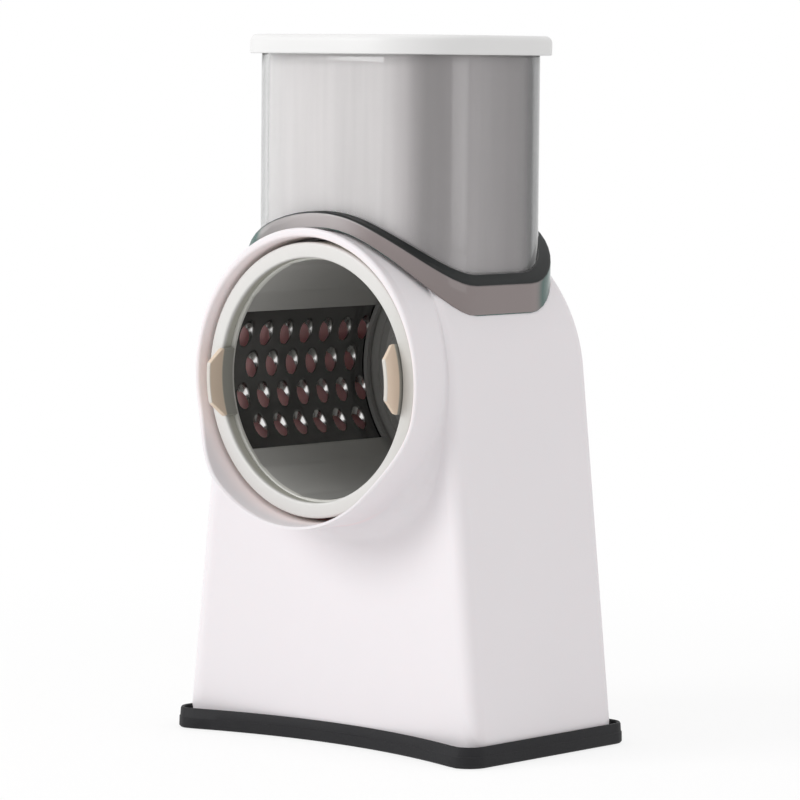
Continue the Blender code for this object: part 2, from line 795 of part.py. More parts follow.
TOOTH_RISE = 1.3 * MM
TOOTH_SIDES = 6
TOOTH_TOP_SHARE = 0.35
HOLE_HALF_WIDTH = 2.8 * MM
HOLE_HALF_LENGTH = 3.0 * MM
HOLE_DROP = 1.7 * MM
PLATE_THICKNESS = 2.2 * MM
PLATE_BOSS_RADIUS = 11.0 * MM
PLATE_BOSS_REACH = 4.5 * MM
HEX_SHARE = 0.75
HEX_ACROSS_FLATS = 2 * SHAFT_RADIUS * HEX_SHARE
HEX_GAP = 0.3 * MM
TAB_THICKNESS = 1.8 * MM
TAB_NIP = 6.0 * MM
TAB_HALF_HEIGHT = 13.4 * MM
TAB_END_HALF_HEIGHT = 7.8 * MM
TAB_REACH = 8.2 * MM

frame_bore = RING_BORE - FRAME_STEP
frame_back = CHAMBER_BACK - END_SPACE
ring_back = RING_FRONT + RING_DEPTH
frame_front = ring_back + TOUCH_GAP
frame_outer = frame_bore + FRAME_WALL
sheet_inner = frame_outer + TOUCH_GAP
sheet_outer = sheet_inner + SHEET_THICKNESS
sheet_front = frame_front
sheet_back = frame_back - BACK_HOOP + SHEET_LAP
plate_front = frame_back + TOUCH_GAP
plate_back = plate_front + PLATE_THICKNESS
window_half_height = frame_bore * WINDOW_SHARE
tooth_columns = int((sheet_back - sheet_front - 2 * SHEET_MARGIN) / TOOTH_PITCH) + 1


def build_ring():
    sleeve_back = ring_back + SLEEVE_DEPTH
    sleeve_bore = sheet_outer + TOOTH_RISE + TOUCH_GAP
    profile = [(sleeve_bore, sleeve_back), (RING_RADIUS, sleeve_back)]
    profile += [(RING_RADIUS, RING_FRONT + RING_EDGE), (RING_RADIUS - RING_EDGE, RING_FRONT)]
    profile += [(RING_BORE + RING_EDGE, RING_FRONT), (RING_BORE, RING_FRONT + RING_EDGE)]
    profile += [(RING_BORE, ring_back), (sleeve_bore, ring_back)]
    turned("drum_ring", profile, axis_point, "Y", white_plastic, closed=True)


def around_axis(angle):
    """Turns a shape made at +X about the drum's axis, anticlockwise seen from the mouth."""
    turn = Matrix.Rotation(-angle, 4, "Y")
    return Matrix.Translation(axis_point) @ turn


def build_frame():
    frame = tube(
        "drum_frame", frame_outer, frame_bore, frame_front, frame_back, axis_point, made=grey_plastic
    )
    for index, angle in enumerate(SHEET_ANGLES, start=1):
        window = box(
            f"window_{index}",
            (frame_bore / 2, frame_front + FRONT_HOOP, -window_half_height),
            (frame_outer + OVERRUN, frame_back - BACK_HOOP, window_half_height),
        )
        window.matrix_world = around_axis(angle + DRUM_TURN)
        cut(frame, window)
    lip_outer = frame_bore + FRAME_WALL / 2
    lip_inner = frame_bore - WINDOW_LIP
    lip_front = frame_front + WINDOW_LIP_STEP
    lip_back = frame_front + FRONT_HOOP - WINDOW_LIP_STEP
    half_angle = WINDOW_LIP_HALF_ANGLE
    band = arc(0, 0, lip_outer, -half_angle, half_angle, 16)
    band += arc(0, 0, lip_inner, half_angle, -half_angle, 16)
    for index, angle in enumerate(SHEET_ANGLES, start=1):
        lip = prism(f"window_lip_{index}", [band], lip_front, lip_back, "Y")
        lip.matrix_world = around_axis(angle + DRUM_TURN)
        join(frame, lip)


def tooth_places():
    """(place along the drum, angle round it) of each tooth; odd rows are staggered by half a pitch."""
    middle = (sheet_front + sheet_back) / 2 + TOOTH_SHIFT
    row_angle = TOOTH_ROW_PITCH / sheet_outer
    places = []
    for row in range(TOOTH_ROWS):
        angle = row_angle * (row - (TOOTH_ROWS - 1) / 2)
        count = tooth_columns - row % 2
        for column in range(count):
            places.append((middle + TOOTH_PITCH * (column - (count - 1) / 2), angle))
    return places


def stud_mesh(name, half_width, half_length, low, high, top_share, drop):
    """Many short oval studs that stand on the sheet, one at each tooth."""
    shape = bmesh.new()
    for along, angle in tooth_places():
        made = bmesh.ops.create_cone(
            shape,
            cap_ends=True,
            segments=TOOTH_SIDES,
            radius1=1.0,
            radius2=top_share,
            depth=1.0,
        )
        scale = Matrix.Diagonal((half_width, half_length, high - low, 1))
        stand = Matrix.Rotation(RIGHT, 4, "Y")
        place = Matrix.Translation(((low + high) / 2, along, drop))
        upright = Matrix.Rotation(RIGHT, 4, "X")
        turn = Matrix.Rotation(-angle, 4, "Y")
        whole = turn @ place @ upright @ stand @ scale
        bmesh.ops.transform(shape, matrix=whole, verts=made["verts"])
    bmesh.ops.recalc_face_normals(shape, faces=shape.faces)
    mesh = bpy.data.meshes.new(name)
    shape.to_mesh(mesh)
    shape.free()
    return add_mesh(name, mesh)


def build_sheets():
    """One sheet is made flat on the axis, and its mesh serves for all three."""
    band = arc(0, 0, sheet_outer, -SHEET_HALF_ANGLE, SHEET_HALF_ANGLE, SHEET_ARC_STEPS)
    band += arc(0, 0, sheet_inner, SHEET_HALF_ANGLE, -SHEET_HALF_ANGLE, SHEET_ARC_STEPS)
    form = prism("sheet_form", [band], sheet_front, sheet_back, "Y")
    bumps = stud_mesh(
        "sheet_bumps",
        TOOTH_HALF_WIDTH,
        TOOTH_HALF_LENGTH,
        sheet_inner + SHEET_THICKNESS / 4,
        sheet_outer + TOOTH_RISE,
        TOOTH_TOP_SHARE,
        0.0,
    )
    holes = stud_mesh(
        "sheet_holes",
        HOLE_HALF_WIDTH,
        HOLE_HALF_LENGTH,
        sheet_inner - OVERRUN,
        sheet_outer + OVERRUN,
        1.0,
        HOLE_DROP,
    )
    join(form, bumps)
    cut(form, holes)
    graph = bpy.context.evaluated_depsgraph_get()
    for index, angle in enumerate(SHEET_ANGLES, start=1):
        mesh = bpy.data.meshes.new_from_object(form.evaluated_get(graph))
        sheet = add_mesh(f"grater_sheet_{index}", mesh, steel)
        sheet.matrix_world = around_axis(angle + DRUM_TURN)


def hexagon(across_flats):
    radius = across_flats / (2 * math.cos(math.radians(30)))
    return arc(0, AXIS_HEIGHT, radius, 0, FULL_TURN * 5 / 6, 5)


def build_end_plate():
    boss_front = plate_front - PLATE_BOSS_REACH
    profile = [(0, plate_back), (frame_outer, plate_back), (frame_outer, plate_front)]
    profile += [(PLATE_BOSS_RADIUS, plate_front), (PLATE_BOSS_RADIUS, boss_front), (0, boss_front)]
    plate = turned("drum_end_plate", profile, axis_point, "Y", grey_plastic)
    socket = prism(
        "hex_socket",
        [hexagon(HEX_ACROSS_FLATS + 2 * HEX_GAP)],
        boss_front + PLATE_THICKNESS,
        plate_back + OVERRUN,
        "Y",
    )
    cut(plate, socket)


def build_tabs():
    tab_outer = RING_BORE - TOUCH_GAP
    tab_inner = tab_outer - TAB_THICKNESS
    half_angle = math.asin(TAB_HALF_HEIGHT / tab_outer)
    band = arc(0, 0, tab_outer, -half_angle, half_angle, 10)
    band += arc(0, 0, tab_inner, half_angle, -half_angle, 10)
    front = RING_FRONT - TAB_REACH
    for name, angle in (("pull_tab_left", 2 * RIGHT), ("pull_tab_right", 0.0)):
        tab = prism(name, [band], front, ring_back, "Y", made=cream_plastic)
        tab.matrix_world = around_axis(angle + DRUM_TURN)
        for side in (-1, 1):
            corner = [
                (front - OVERRUN, side * TAB_END_HALF_HEIGHT),
                (front, side * TAB_END_HALF_HEIGHT),
                (front + TAB_NIP, side * TAB_HALF_HEIGHT),
                (front + TAB_NIP, side * (TAB_HALF_HEIGHT + OVERRUN)),
                (front - OVERRUN, side * (TAB_HALF_HEIGHT + OVERRUN)),
            ]
            if side < 0:
                corner.reverse()
            nip = prism(f"{name}_nip_{side + 1}", [corner], 0, RING_RADIUS + OVERRUN, "X")
            nip.matrix_world = around_axis(angle + DRUM_TURN)
            cut(tab, nip)


# Crank: shaft, bush, seal, arm, knob and fastenings
COLLAR_STEP = 2.5 * MM
COLLAR_RADIUS = SHAFT_RADIUS + COLLAR_STEP
COLLAR_THICKNESS = 1.4 * MM
BUSH_FLANGE_STEP = 3.0 * MM
BUSH_FLANGE_RADIUS = BUSH_RADIUS + BUSH_FLANGE_STEP
BUSH_FLANGE = 1.5 * MM
SEAL_WALL = 2.8 * MM
SEAL_RADIUS = SHAFT_RADIUS + SEAL_WALL
SEAL_THICKNESS = 1.6 * MM
ARM_THICKNESS = 8.0 * MM
ARM_HUB_RADIUS = 13.0 * MM
ARM_END_RADIUS = 9.5 * MM
ARM_EDGE = 1.5 * MM
SQUARE_SHARE = 2 / 3
SQUARE_SIDE = 2 * SHAFT_RADIUS * SQUARE_SHARE
ARM_SCREW_RADIUS = 2.0 * MM
ARM_SCREW_HEAD = 4.0 * MM
ARM_SCREW_HEAD_DEPTH = 2.4 * MM
ARM_SCREW_LENGTH = 9.0 * MM
ARM_RECESS_RADIUS = 7.0 * MM
ARM_RECESS_DEPTH = 3.4 * MM
HUB_CAP_LIP = 0.8 * MM
SPINDLE_RADIUS = 3.0 * MM
SPINDLE_HEAD_RADIUS = 5.0 * MM
SPINDLE_HEAD = 2.0 * MM
KNOB_RADIUS = 11.3 * MM
KNOB_NECK_RADIUS = 8.5 * MM
KNOB_LENGTH = 42.0 * MM
KNOB_CAP_RADIUS = 6.5 * MM
KNOB_CAP_DEPTH = 2.0 * MM
KNOB_TOE = 3.0 * MM

bush_flange_low = HOUSING_BACK + TOUCH_GAP
bush_flange_high = bush_flange_low + BUSH_FLANGE
seal_low = bush_flange_high + TOUCH_GAP
seal_high = seal_low + SEAL_THICKNESS
arm_low = seal_high + TOUCH_GAP
arm_high = arm_low + ARM_THICKNESS
recess_low = arm_high - ARM_RECESS_DEPTH
collar_high = CHAMBER_BACK - TOUCH_GAP
collar_low = collar_high - COLLAR_THICKNESS
knob_point = (0, 0, AXIS_HEIGHT - CRANK_THROW)
knob_low = arm_high + TOUCH_GAP
knob_high = knob_low + KNOB_LENGTH


def square_outline(side):
    half = side / 2
    low = AXIS_HEIGHT - half
    high = AXIS_HEIGHT + half
    return [(-half, low), (half, low), (half, high), (-half, high)]


def build_shaft():
    """Hexagon for the drum, collar inside the chamber, journal in the bush and square for the arm."""
    journal_high = arm_low - TOUCH_GAP
    square_high = recess_low - TOUCH_GAP
    profile = [(0, journal_high), (SHAFT_RADIUS, journal_high), (SHAFT_RADIUS, collar_high)]
    profile += [(COLLAR_RADIUS, collar_high), (COLLAR_RADIUS, collar_low), (0, collar_low)]
    shaft = turned("drive_shaft", profile, axis_point, "Y", steel, steps=SMALL_STEPS)
    hex_low = plate_front - PLATE_BOSS_REACH + PLATE_THICKNESS + TOUCH_GAP
    key = prism("shaft_hexagon", [hexagon(HEX_ACROSS_FLATS)], hex_low, collar_high - TOUCH_GAP, "Y")
    square_low = journal_high - BUSH_FLANGE
    square = prism("shaft_square", [square_outline(SQUARE_SIDE)], square_low, square_high, "Y")
    thread = rod(
        "shaft_thread",
        ARM_SCREW_RADIUS + SCREW_HOLE_GAP,
        square_high - ARM_SCREW_LENGTH,
        square_high + OVERRUN,
        axis_point,
        steps=16,
    )
    join(shaft, key, square)
    cut(shaft, thread)


def build_bearing():
    bore = SHAFT_RADIUS + RUNNING_GAP
    sleeve_low = CHAMBER_BACK + TOUCH_GAP
    profile = [(bore, bush_flange_high), (BUSH_FLANGE_RADIUS, bush_flange_high)]
    profile += [(BUSH_FLANGE_RADIUS, bush_flange_low), (BUSH_RADIUS, bush_flange_low)]
    profile += [(BUSH_RADIUS, sleeve_low), (bore, sleeve_low)]
    turned("rear_bush", profile, axis_point, "Y", grey_plastic, steps=SMALL_STEPS, closed=True)
    tube(
        "shaft_seal",
        SEAL_RADIUS,
        SHAFT_RADIUS + RUNNING_GAP,
        seal_low,
        seal_high,
        axis_point,
        made=black_rubber,
        steps=SMALL_STEPS,
        edge=SEAL_THICKNESS / 4,
    )


def arm_outline():
    """Two circles joined by their common tangents, seen from the back."""
    knob_height = AXIS_HEIGHT - CRANK_THROW
    lean = math.asin((ARM_HUB_RADIUS - ARM_END_RADIUS) / CRANK_THROW)
    outline = arc(0, AXIS_HEIGHT, ARM_HUB_RADIUS, -lean, 2 * RIGHT + lean, 14)
    outline += arc(0, knob_height, ARM_END_RADIUS, 2 * RIGHT + lean, 4 * RIGHT - lean, 10)
    return outline


def build_arm():
    arm = prism(
        "crank_arm",
        [arm_outline()],
        arm_low,
        arm_high,
        "Y",
        made=blush_plastic,
        edge_radius=ARM_EDGE,
        edge_steps=1,
    )
    square_hole = prism(
        "square_hole",
        [square_outline(SQUARE_SIDE + 2 * RUNNING_GAP)],
        arm_low - OVERRUN,
        recess_low + TOUCH_GAP,
        "Y",
    )
    recess = rod("screw_recess", ARM_RECESS_RADIUS, recess_low, arm_high + OVERRUN, axis_point)
    spindle_hole = rod(
        "spindle_hole",
        SPINDLE_RADIUS + RUNNING_GAP / 2,
        arm_low - OVERRUN,
        arm_high + OVERRUN,
        knob_point,
        steps=24,
    )
    head_hole = rod(
        "spindle_head_hole",
        SPINDLE_HEAD_RADIUS + RUNNING_GAP,
        arm_low - OVERRUN,
        arm_low + SPINDLE_HEAD + TOUCH_GAP,
        knob_point,
        steps=24,
    )
    cut(arm, square_hole, recess, spindle_hole, head_hole)

    head_high = recess_low + ARM_SCREW_HEAD_DEPTH
    profile = [(0, head_high), (ARM_SCREW_HEAD, head_high), (ARM_SCREW_HEAD, recess_low)]
    tip = recess_low - TOUCH_GAP - ARM_SCREW_LENGTH + ARM_SCREW_RADIUS
    profile += [(ARM_SCREW_RADIUS, recess_low), (ARM_SCREW_RADIUS, tip), (0, tip)]
    turned("arm_screw", profile, axis_point, "Y", steel, steps=24)

    cap_low = arm_high - HUB_CAP_LIP
    rod(
        "hub_cap",
        ARM_RECESS_RADIUS - TOUCH_GAP,
        max(cap_low, head_high + TOUCH_GAP),
        arm_high + HUB_CAP_LIP,
        axis_point,
        made=white_plastic,
        edge=HUB_CAP_LIP / 2,
    )


def build_knob():
    pin_high = knob_high - KNOB_CAP_DEPTH - TOUCH_GAP
    head_low = arm_low + TOUCH_GAP / 2
    head_high = head_low + SPINDLE_HEAD
    profile = [(0, pin_high), (SPINDLE_RADIUS, pin_high), (SPINDLE_RADIUS, head_high)]
    profile += [(SPINDLE_HEAD_RADIUS, head_high), (SPINDLE_HEAD_RADIUS, head_low), (0, head_low)]
    turned("knob_spindle", profile, knob_point, "Y", steel, steps=24)

    bore = SPINDLE_RADIUS + RUNNING_GAP
    cap_seat = knob_high - KNOB_CAP_DEPTH
    waist = knob_low + KNOB_LENGTH / 2
    outer = [
        (KNOB_CAP_RADIUS, knob_high),
        (KNOB_RADIUS - KNOB_TOE / 2, knob_high),
        (KNOB_RADIUS, knob_high - KNOB_TOE),
        (KNOB_RADIUS, waist),
        (KNOB_NECK_RADIUS, knob_low + KNOB_TOE),
        (KNOB_NECK_RADIUS, knob_low),
        (bore, knob_low),
        (bore, cap_seat),
        (KNOB_CAP_RADIUS, cap_seat),
    ]
    turned("crank_knob", outer, knob_point, "Y", blush_plastic, steps=40, closed=True)
    rod(
        "knob_cap",
        KNOB_CAP_RADIUS - TOUCH_GAP,
        cap_seat + TOUCH_GAP,
        knob_high,
        knob_point,
        made=white_plastic,
        steps=24,
    )


build_housing()
build_tray()
build_screws()
build_suction()
build_hopper()
build_pusher()
build_ring()
build_frame()
build_sheets()
build_end_plate()
build_tabs()
build_shaft()
build_bearing()
build_arm()
build_knob()
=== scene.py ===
"""Rotary vegetable cutter: the looks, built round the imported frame. X across, -Y out of the mouth, Z up, metres."""

import functools
import math

import bmesh
import bpy
import numpy as np
from mathutils import Matrix, Vector
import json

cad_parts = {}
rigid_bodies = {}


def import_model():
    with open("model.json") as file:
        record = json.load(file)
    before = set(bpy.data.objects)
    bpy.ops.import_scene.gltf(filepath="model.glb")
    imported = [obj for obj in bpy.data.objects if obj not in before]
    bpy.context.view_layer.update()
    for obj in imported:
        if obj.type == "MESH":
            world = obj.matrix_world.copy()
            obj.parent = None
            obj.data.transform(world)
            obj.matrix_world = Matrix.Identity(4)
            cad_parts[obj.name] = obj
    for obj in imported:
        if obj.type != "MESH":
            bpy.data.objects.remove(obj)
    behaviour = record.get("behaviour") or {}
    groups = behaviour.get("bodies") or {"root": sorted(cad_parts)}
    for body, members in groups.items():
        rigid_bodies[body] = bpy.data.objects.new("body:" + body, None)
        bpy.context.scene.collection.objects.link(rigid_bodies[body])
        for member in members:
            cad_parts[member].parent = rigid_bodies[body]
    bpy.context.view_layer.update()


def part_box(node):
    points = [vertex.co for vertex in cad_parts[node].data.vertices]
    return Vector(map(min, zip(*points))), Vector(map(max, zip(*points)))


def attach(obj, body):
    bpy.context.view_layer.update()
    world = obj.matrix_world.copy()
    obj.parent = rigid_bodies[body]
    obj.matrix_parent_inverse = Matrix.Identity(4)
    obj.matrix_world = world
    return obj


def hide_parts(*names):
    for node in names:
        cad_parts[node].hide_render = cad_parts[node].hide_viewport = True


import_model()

# ---- The studio: the camera where the photographer stood, a pale floor that fades to white, and soft lamps.

CAMERA_AT = (1.09756, -1.26052, 0.26473)
CAMERA_AZIMUTH = math.radians(41.015)
CAMERA_ELEVATION = math.radians(4.532)
CAMERA_ROLL = math.radians(0.51)
CAMERA_LENS_MM = 192.44
WORLD_LIGHT = 0.65
FLOOR_REACH = 6.0
FLOOR_DROP = 0.0004
SHADOW_NEAR = 0.16
SHADOW_FAR = 0.55
SHADOW_FADE = 0.8


def in_scene(thing):
    bpy.context.scene.collection.objects.link(thing)
    return thing


sine, cosine, level = math.sin(CAMERA_AZIMUTH), math.cos(CAMERA_AZIMUTH), math.cos(CAMERA_ELEVATION)
side_axis = Vector((cosine, sine, 0))
back_axis = Vector((sine * level, -cosine * level, math.sin(CAMERA_ELEVATION)))
up_axis = back_axis.cross(side_axis)
image_right = side_axis * math.cos(CAMERA_ROLL) + up_axis * math.sin(CAMERA_ROLL)
image_up = up_axis * math.cos(CAMERA_ROLL) - side_axis * math.sin(CAMERA_ROLL)
lens = bpy.data.cameras.new("studio_camera")
lens.lens = CAMERA_LENS_MM
lens.sensor_width = 36.0
lens.clip_end = 50.0
camera = in_scene(bpy.data.objects.new("studio_camera", lens))
camera_rows = zip(zip(image_right, image_up, back_axis), CAMERA_AT)
camera.matrix_world = Matrix([(*row, place) for row, place in camera_rows] + [(0, 0, 0, 1)])
bpy.context.scene.camera = camera
bpy.context.scene.view_settings.view_transform = "Standard"


def feed(node, inputs):
    """Fills a node's inputs by socket: each is a plain value, a colour or an earlier (node, output)."""
    for socket, value in inputs.items():
        field = node.inputs[socket]
        if isinstance(value, tuple) and isinstance(value[0], bpy.types.Node):
            node.id_data.links.new(value[0].outputs[value[1]], field)
        else:
            field.default_value = (*value, 1) if field.type == "RGBA" else value
    return node


def add(tree, kind, inputs=None, **settings):
    """A new node with these settings and inputs."""
    node = tree.new(kind)
    for name, value in settings.items():
        setattr(node, name, value)
    return feed(node, inputs or {})


def figure(operation, *sides):
    """A maths node; each side is a number or a (node, output)."""
    tree = next(side[0] for side in sides if isinstance(side, tuple)).id_data.nodes
    return (add(tree, "ShaderNodeMath", dict(enumerate(sides)), operation=operation), 0)


def both(first, second):
    return figure("MULTIPLY", first, second)


def spread(value, low, high, first=0.0, last=1.0, way="SMOOTHSTEP"):
    """Runs from first to last while the value goes from low to high."""
    ends = {"Value": value, "From Min": low, "From Max": high, "To Min": first, "To Max": last}
    return (add(value[0].id_data.nodes, "ShaderNodeMapRange", ends, interpolation_type=way), 0)


def blended(share, first, second):
    """A colour mix; each side is a colour or a (node, output)."""
    tree = share[0].id_data.nodes
    return (add(tree, "ShaderNodeMix", {0: share, "A": first, "B": second}, data_type="RGBA"), "Result")


def seen_directly(tree):
    """1 for rays that look at a thing: from the camera, in a reflection or through clear plastic."""
    path = add(tree, "ShaderNodeLightPath")
    first = figure("MAXIMUM", (path, "Is Camera Ray"), (path, "Is Glossy Ray"))
    return figure("MAXIMUM", first, (path, "Is Transmission Ray"))


world = bpy.data.worlds.new("studio_air")
bpy.context.scene.world = world
world.use_nodes = True
tree = world.node_tree.nodes
tree.clear()
lit = add(tree, "ShaderNodeBackground", {"Color": (1.0, 0.99, 0.985), "Strength": WORLD_LIGHT})
white = add(tree, "ShaderNodeBackground", {"Color": (1, 1, 1), "Strength": 1.0})
mixed = add(tree, "ShaderNodeMixShader", {0: seen_directly(tree), 1: (lit, 0), 2: (white, 0)})
add(tree, "ShaderNodeOutputWorld", {0: (mixed, 0)})

floor_mesh = bpy.data.meshes.new("floor")
floor_corners = [(x * FLOOR_REACH, y * FLOOR_REACH, -FLOOR_DROP) for x, y in ((-1, -1), (1, -1), (1, 1), (-1, 1))]
floor_mesh.from_pydata(floor_corners, [], [(0, 1, 2, 3)])
floor = in_scene(bpy.data.objects.new("floor", floor_mesh))
floor_paint = bpy.data.materials.new("pale_floor")
floor_paint.use_nodes = True
tree = floor_paint.node_tree.nodes
tree.clear()
distance = add(tree, "ShaderNodeVectorMath", {0: (add(tree, "ShaderNodeTexCoord"), "Object")}, operation="LENGTH")
fade = spread((distance, "Value"), SHADOW_NEAR, SHADOW_FAR, SHADOW_FADE, 1.0)
matt = add(tree, "ShaderNodeBsdfDiffuse", {"Color": (0.94, 0.94, 0.94)})
white = add(tree, "ShaderNodeEmission")
mixed = add(tree, "ShaderNodeMixShader", {0: both(fade, seen_directly(tree)), 1: (matt, 0), 2: (white, 0)})
add(tree, "ShaderNodeOutputMaterial", {0: (mixed, 0)})
floor_mesh.materials.append(floor_paint)


def soft_lamp(name, place, aim, size, power):
    lamp = bpy.data.lights.new(name, "AREA")
    lamp.shape = "RECTANGLE"
    lamp.size, lamp.size_y = size
    lamp.energy = power
    direction = Vector(aim) - Vector(place)
    turn = direction.to_track_quat("-Z", "Y").to_matrix().to_4x4()
    in_scene(bpy.data.objects.new(name, lamp)).matrix_world = Matrix.Translation(place) @ turn


soft_lamp("key_lamp", (-0.80, -1.5, 0.9), (0, 0, 0.13), (0.9, 0.9), 15.5)
soft_lamp("fill_lamp", (1.5, 0.35, 0.6), (0, 0, 0.13), (0.8, 1.0), 2.7)
soft_lamp("top_lamp", (0.0, 0.1, 1.6), (0, 0, 0.15), (1.0, 1.0), 4.5)

# ---- Housing: one injection-moulded shell of glossy white plastic with a faint pink tint. The mouth tube, the
# drum chamber behind it and the hollow tower with its bowl-shaped front are all one moulding.

AXIS_Z = 0.1425
ARCH_Z = 0.1395
ARCH_R = 0.0610
FOOT_HALF_WIDTH = 0.0761
HOUSING_BOTTOM = 0.0058
HOUSING_FRONT = -0.0410
HOUSING_BACK = 0.0455
FRONT_HOLLOW = 0.0085
FRONT_EDGE = 0.0073
BACK_EDGE = 0.0080
MOUTH_FRONT = -0.0552
MOUTH_R = 0.0545
MOUTH_OPENING = 0.0007
MOUTH_TAPER_START = -0.045
CHIN_REACH = 0.0078
CHIN_START = 12.0
CHIN_FULL = 48.0
CHIN_BLEND = 0.0090
CHIN_THIN = 0.0009
TUBE_R = 0.0574
TUBE_BLEND = 0.0026
TUBE_FLARE = 0.0004
BEAD_RISE = 0.0012
BEAD_LENGTH = 0.0048
LIP_IN = 0.0012
LIP_OUT = 0.0011
CHAMBER_BACK = 0.0415
BUSH_HOLE_R = 0.0093
WALL = 0.0028
CAVITY_FRONT = -0.0297
CAVITY_LOW = -0.003
CAVITY_TOP = 0.1240
FEED_GAP = 0.0006
FEED_FLOOR = 0.1680
LEVER_SLOT = ((-0.009, 0.036, 0.013), (0.009, 0.055, 0.037))
HOPPER_HALF_WIDTH = 0.0510
HOPPER_HALF_DEPTH = 0.0427
HOPPER_CORNER = 0.0298
leg_slope = math.hypot(FOOT_HALF_WIDTH, ARCH_Z - HOUSING_BOTTOM)
LEG_LEAN = math.atan2(FOOT_HALF_WIDTH, ARCH_Z - HOUSING_BOTTOM) - math.asin(ARCH_R / leg_slope)


def inside_edge(x, z):
    """How far a point of the front view lies inside the arch and the leaning legs."""
    x = np.abs(x)
    up = z - ARCH_Z
    leg = ARCH_R - (x * math.cos(LEG_LEAN) + up * math.sin(LEG_LEAN))
    return np.where(np.arctan2(up, x) > LEG_LEAN, ARCH_R - np.hypot(x, up), leg)


def leg_width(z, inset=0.0):
    return (ARCH_R - inset - (z - ARCH_Z) * math.sin(LEG_LEAN)) / math.cos(LEG_LEAN)


def rounded_edge(x, z, radius):
    """How far a face has fallen back near the outline, where its edge is rounded."""
    depth = np.clip(inside_edge(x, z), 0, radius)
    return radius - np.sqrt(radius**2 - (radius - depth) ** 2)


def front_y(x, z):
    """The front face: a shallow bowl between the two legs, with rounded outer corners."""
    bowl = FRONT_HOLLOW * (1 - np.clip(x / leg_width(z), -1, 1) ** 2)
    return HOUSING_FRONT + bowl + rounded_edge(x, z, FRONT_EDGE)


def back_y(x, z):
    return HOUSING_BACK - rounded_edge(x, z, BACK_EDGE)


def along_path(path, shares):
    """Points at these shares of a path's length."""
    path = np.asarray(path, float)
    length = np.concatenate([[0], np.cumsum(np.linalg.norm(np.diff(path, axis=0), axis=1))])
    places = np.asarray(shares) * length[-1]
    return np.stack([np.interp(places, length, path[:, k]) for k in range(path.shape[1])], axis=1)


def arc_path(centre, radius, start, end, count):
    """Points (across, along) on an arc, angles in degrees."""
    angles = np.radians(np.linspace(start, end, count))
    return np.stack([centre[0] + radius * np.cos(angles), centre[1] + radius * np.sin(angles)], axis=1)


def quarter(radius, degrees):
    """The steps of a rounded edge: pairs of (radius less its cosine, radius less its sine)."""
    return [(radius * (1 - math.cos(turn)), radius * (1 - math.sin(turn))) for turn in np.radians(degrees)]


def soften(mesh, degrees):
    """Smooth shading, broken at edges sharper than this."""
    mesh.shade_smooth()
    mesh.set_sharp_from_angle(angle=math.radians(degrees))


def woven_mesh(name, rows, caps=False, round_rows=False, round_columns=True):
    """Quads between neighbouring rows of points, closed round or capped where asked."""
    count, last = len(rows[0]), len(rows) - 1
    faces = []
    for i in range(last + round_rows):
        here, there = i * count, ((i + 1) % len(rows)) * count
        for j in range(count if round_columns else count - 1):
            beside = (j + 1) % count
            faces.append((here + j, here + beside, there + beside, there + j))
    if caps:
        faces += [tuple(range(count)), tuple(range(last * count, last * count + count))]
    mesh = bpy.data.meshes.new(name)
    mesh.from_pydata([tuple(point) for point in np.concatenate(rows)], [], faces)
    return mesh


def woven(name, rows, body=None, material=None, slot=None, **closing):
    """A piece at the origin from rows of points, with its normals out, riding on its body."""
    mesh = woven_mesh(name, rows, **closing)
    shape = bmesh.new()
    shape.from_mesh(mesh)
    bmesh.ops.remove_doubles(shape, verts=shape.verts, dist=1e-6)
    bmesh.ops.dissolve_degenerate(shape, edges=shape.edges, dist=1e-7)
    bmesh.ops.recalc_face_normals(shape, faces=shape.faces)
    shape.to_mesh(mesh)
    shape.free()
    soften(mesh, 40)
    piece = in_scene(bpy.data.objects.new(name, mesh))
    if material:
        mesh.materials.append(material)
    if body:
        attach(piece, body)
    return piece


def stacked(name, layers, body=None, material=None, slot=None):
    """A closed solid through layers of points, capped flat at its first and last layer."""
    return woven(name, layers, body, material, slot, caps=True)


def at_height(plan, z):
    """A plan seen from above, at one height or at a height for each of its points."""
    return np.column_stack([plan, z if np.ndim(z) else np.full(len(plan), z)])


def layers_of(plan, steps):
    """Layers of a plan that can grow: each step is (how much it grows, its height)."""
    return [at_height(plan(grow), z) for grow, z in steps]


def upright(outline, y):
    """An outline of (x, z) points at this place along Y."""
    return np.column_stack([outline[:, 0], np.full(len(outline), y), outline[:, 1]])


def block(low, high):
    """A plain block used only as a cutting tool."""
    plan = np.array([(low[0], low[1]), (high[0], low[1]), (high[0], high[1]), (low[0], high[1])])
    return stacked("tool", [at_height(plan, low[2]), at_height(plan, high[2])])


def carve(piece, tool, operation="DIFFERENCE"):
    """Cuts the tool out of the piece, or joins it on, and removes the tool."""
    boolean = piece.modifiers.new("carve", "BOOLEAN")
    boolean.operation = operation
    boolean.solver = "MANIFOLD"
    boolean.object = tool
    graph = bpy.context.evaluated_depsgraph_get()
    mesh = bpy.data.meshes.new_from_object(piece.evaluated_get(graph))
    piece.modifiers.clear()
    piece.data = mesh
    bpy.data.objects.remove(tool)


def rounded_plan(half_width, half_depth, corner, straight=8, turn=12):
    """A rectangle with round corners seen from above, the same stations whatever its size."""
    across, along = half_width - corner, half_depth - corner
    centres = [(across, along), (-across, along), (-across, -along), (across, -along)]
    bends = [arc_path(at, corner, 90 * k, 90 * k + 90, turn + 1) for k, at in enumerate(centres)]
    plan = []
    for bend, after in zip(bends, bends[1:] + bends[:1]):
        plan += [bend, np.linspace(bend[-1], after[0], straight + 1)[1:-1]]
    return np.concatenate(plan)


def chute_plan(grow):
    return rounded_plan(HOPPER_HALF_WIDTH + grow, HOPPER_HALF_DEPTH + grow, HOPPER_CORNER + grow)


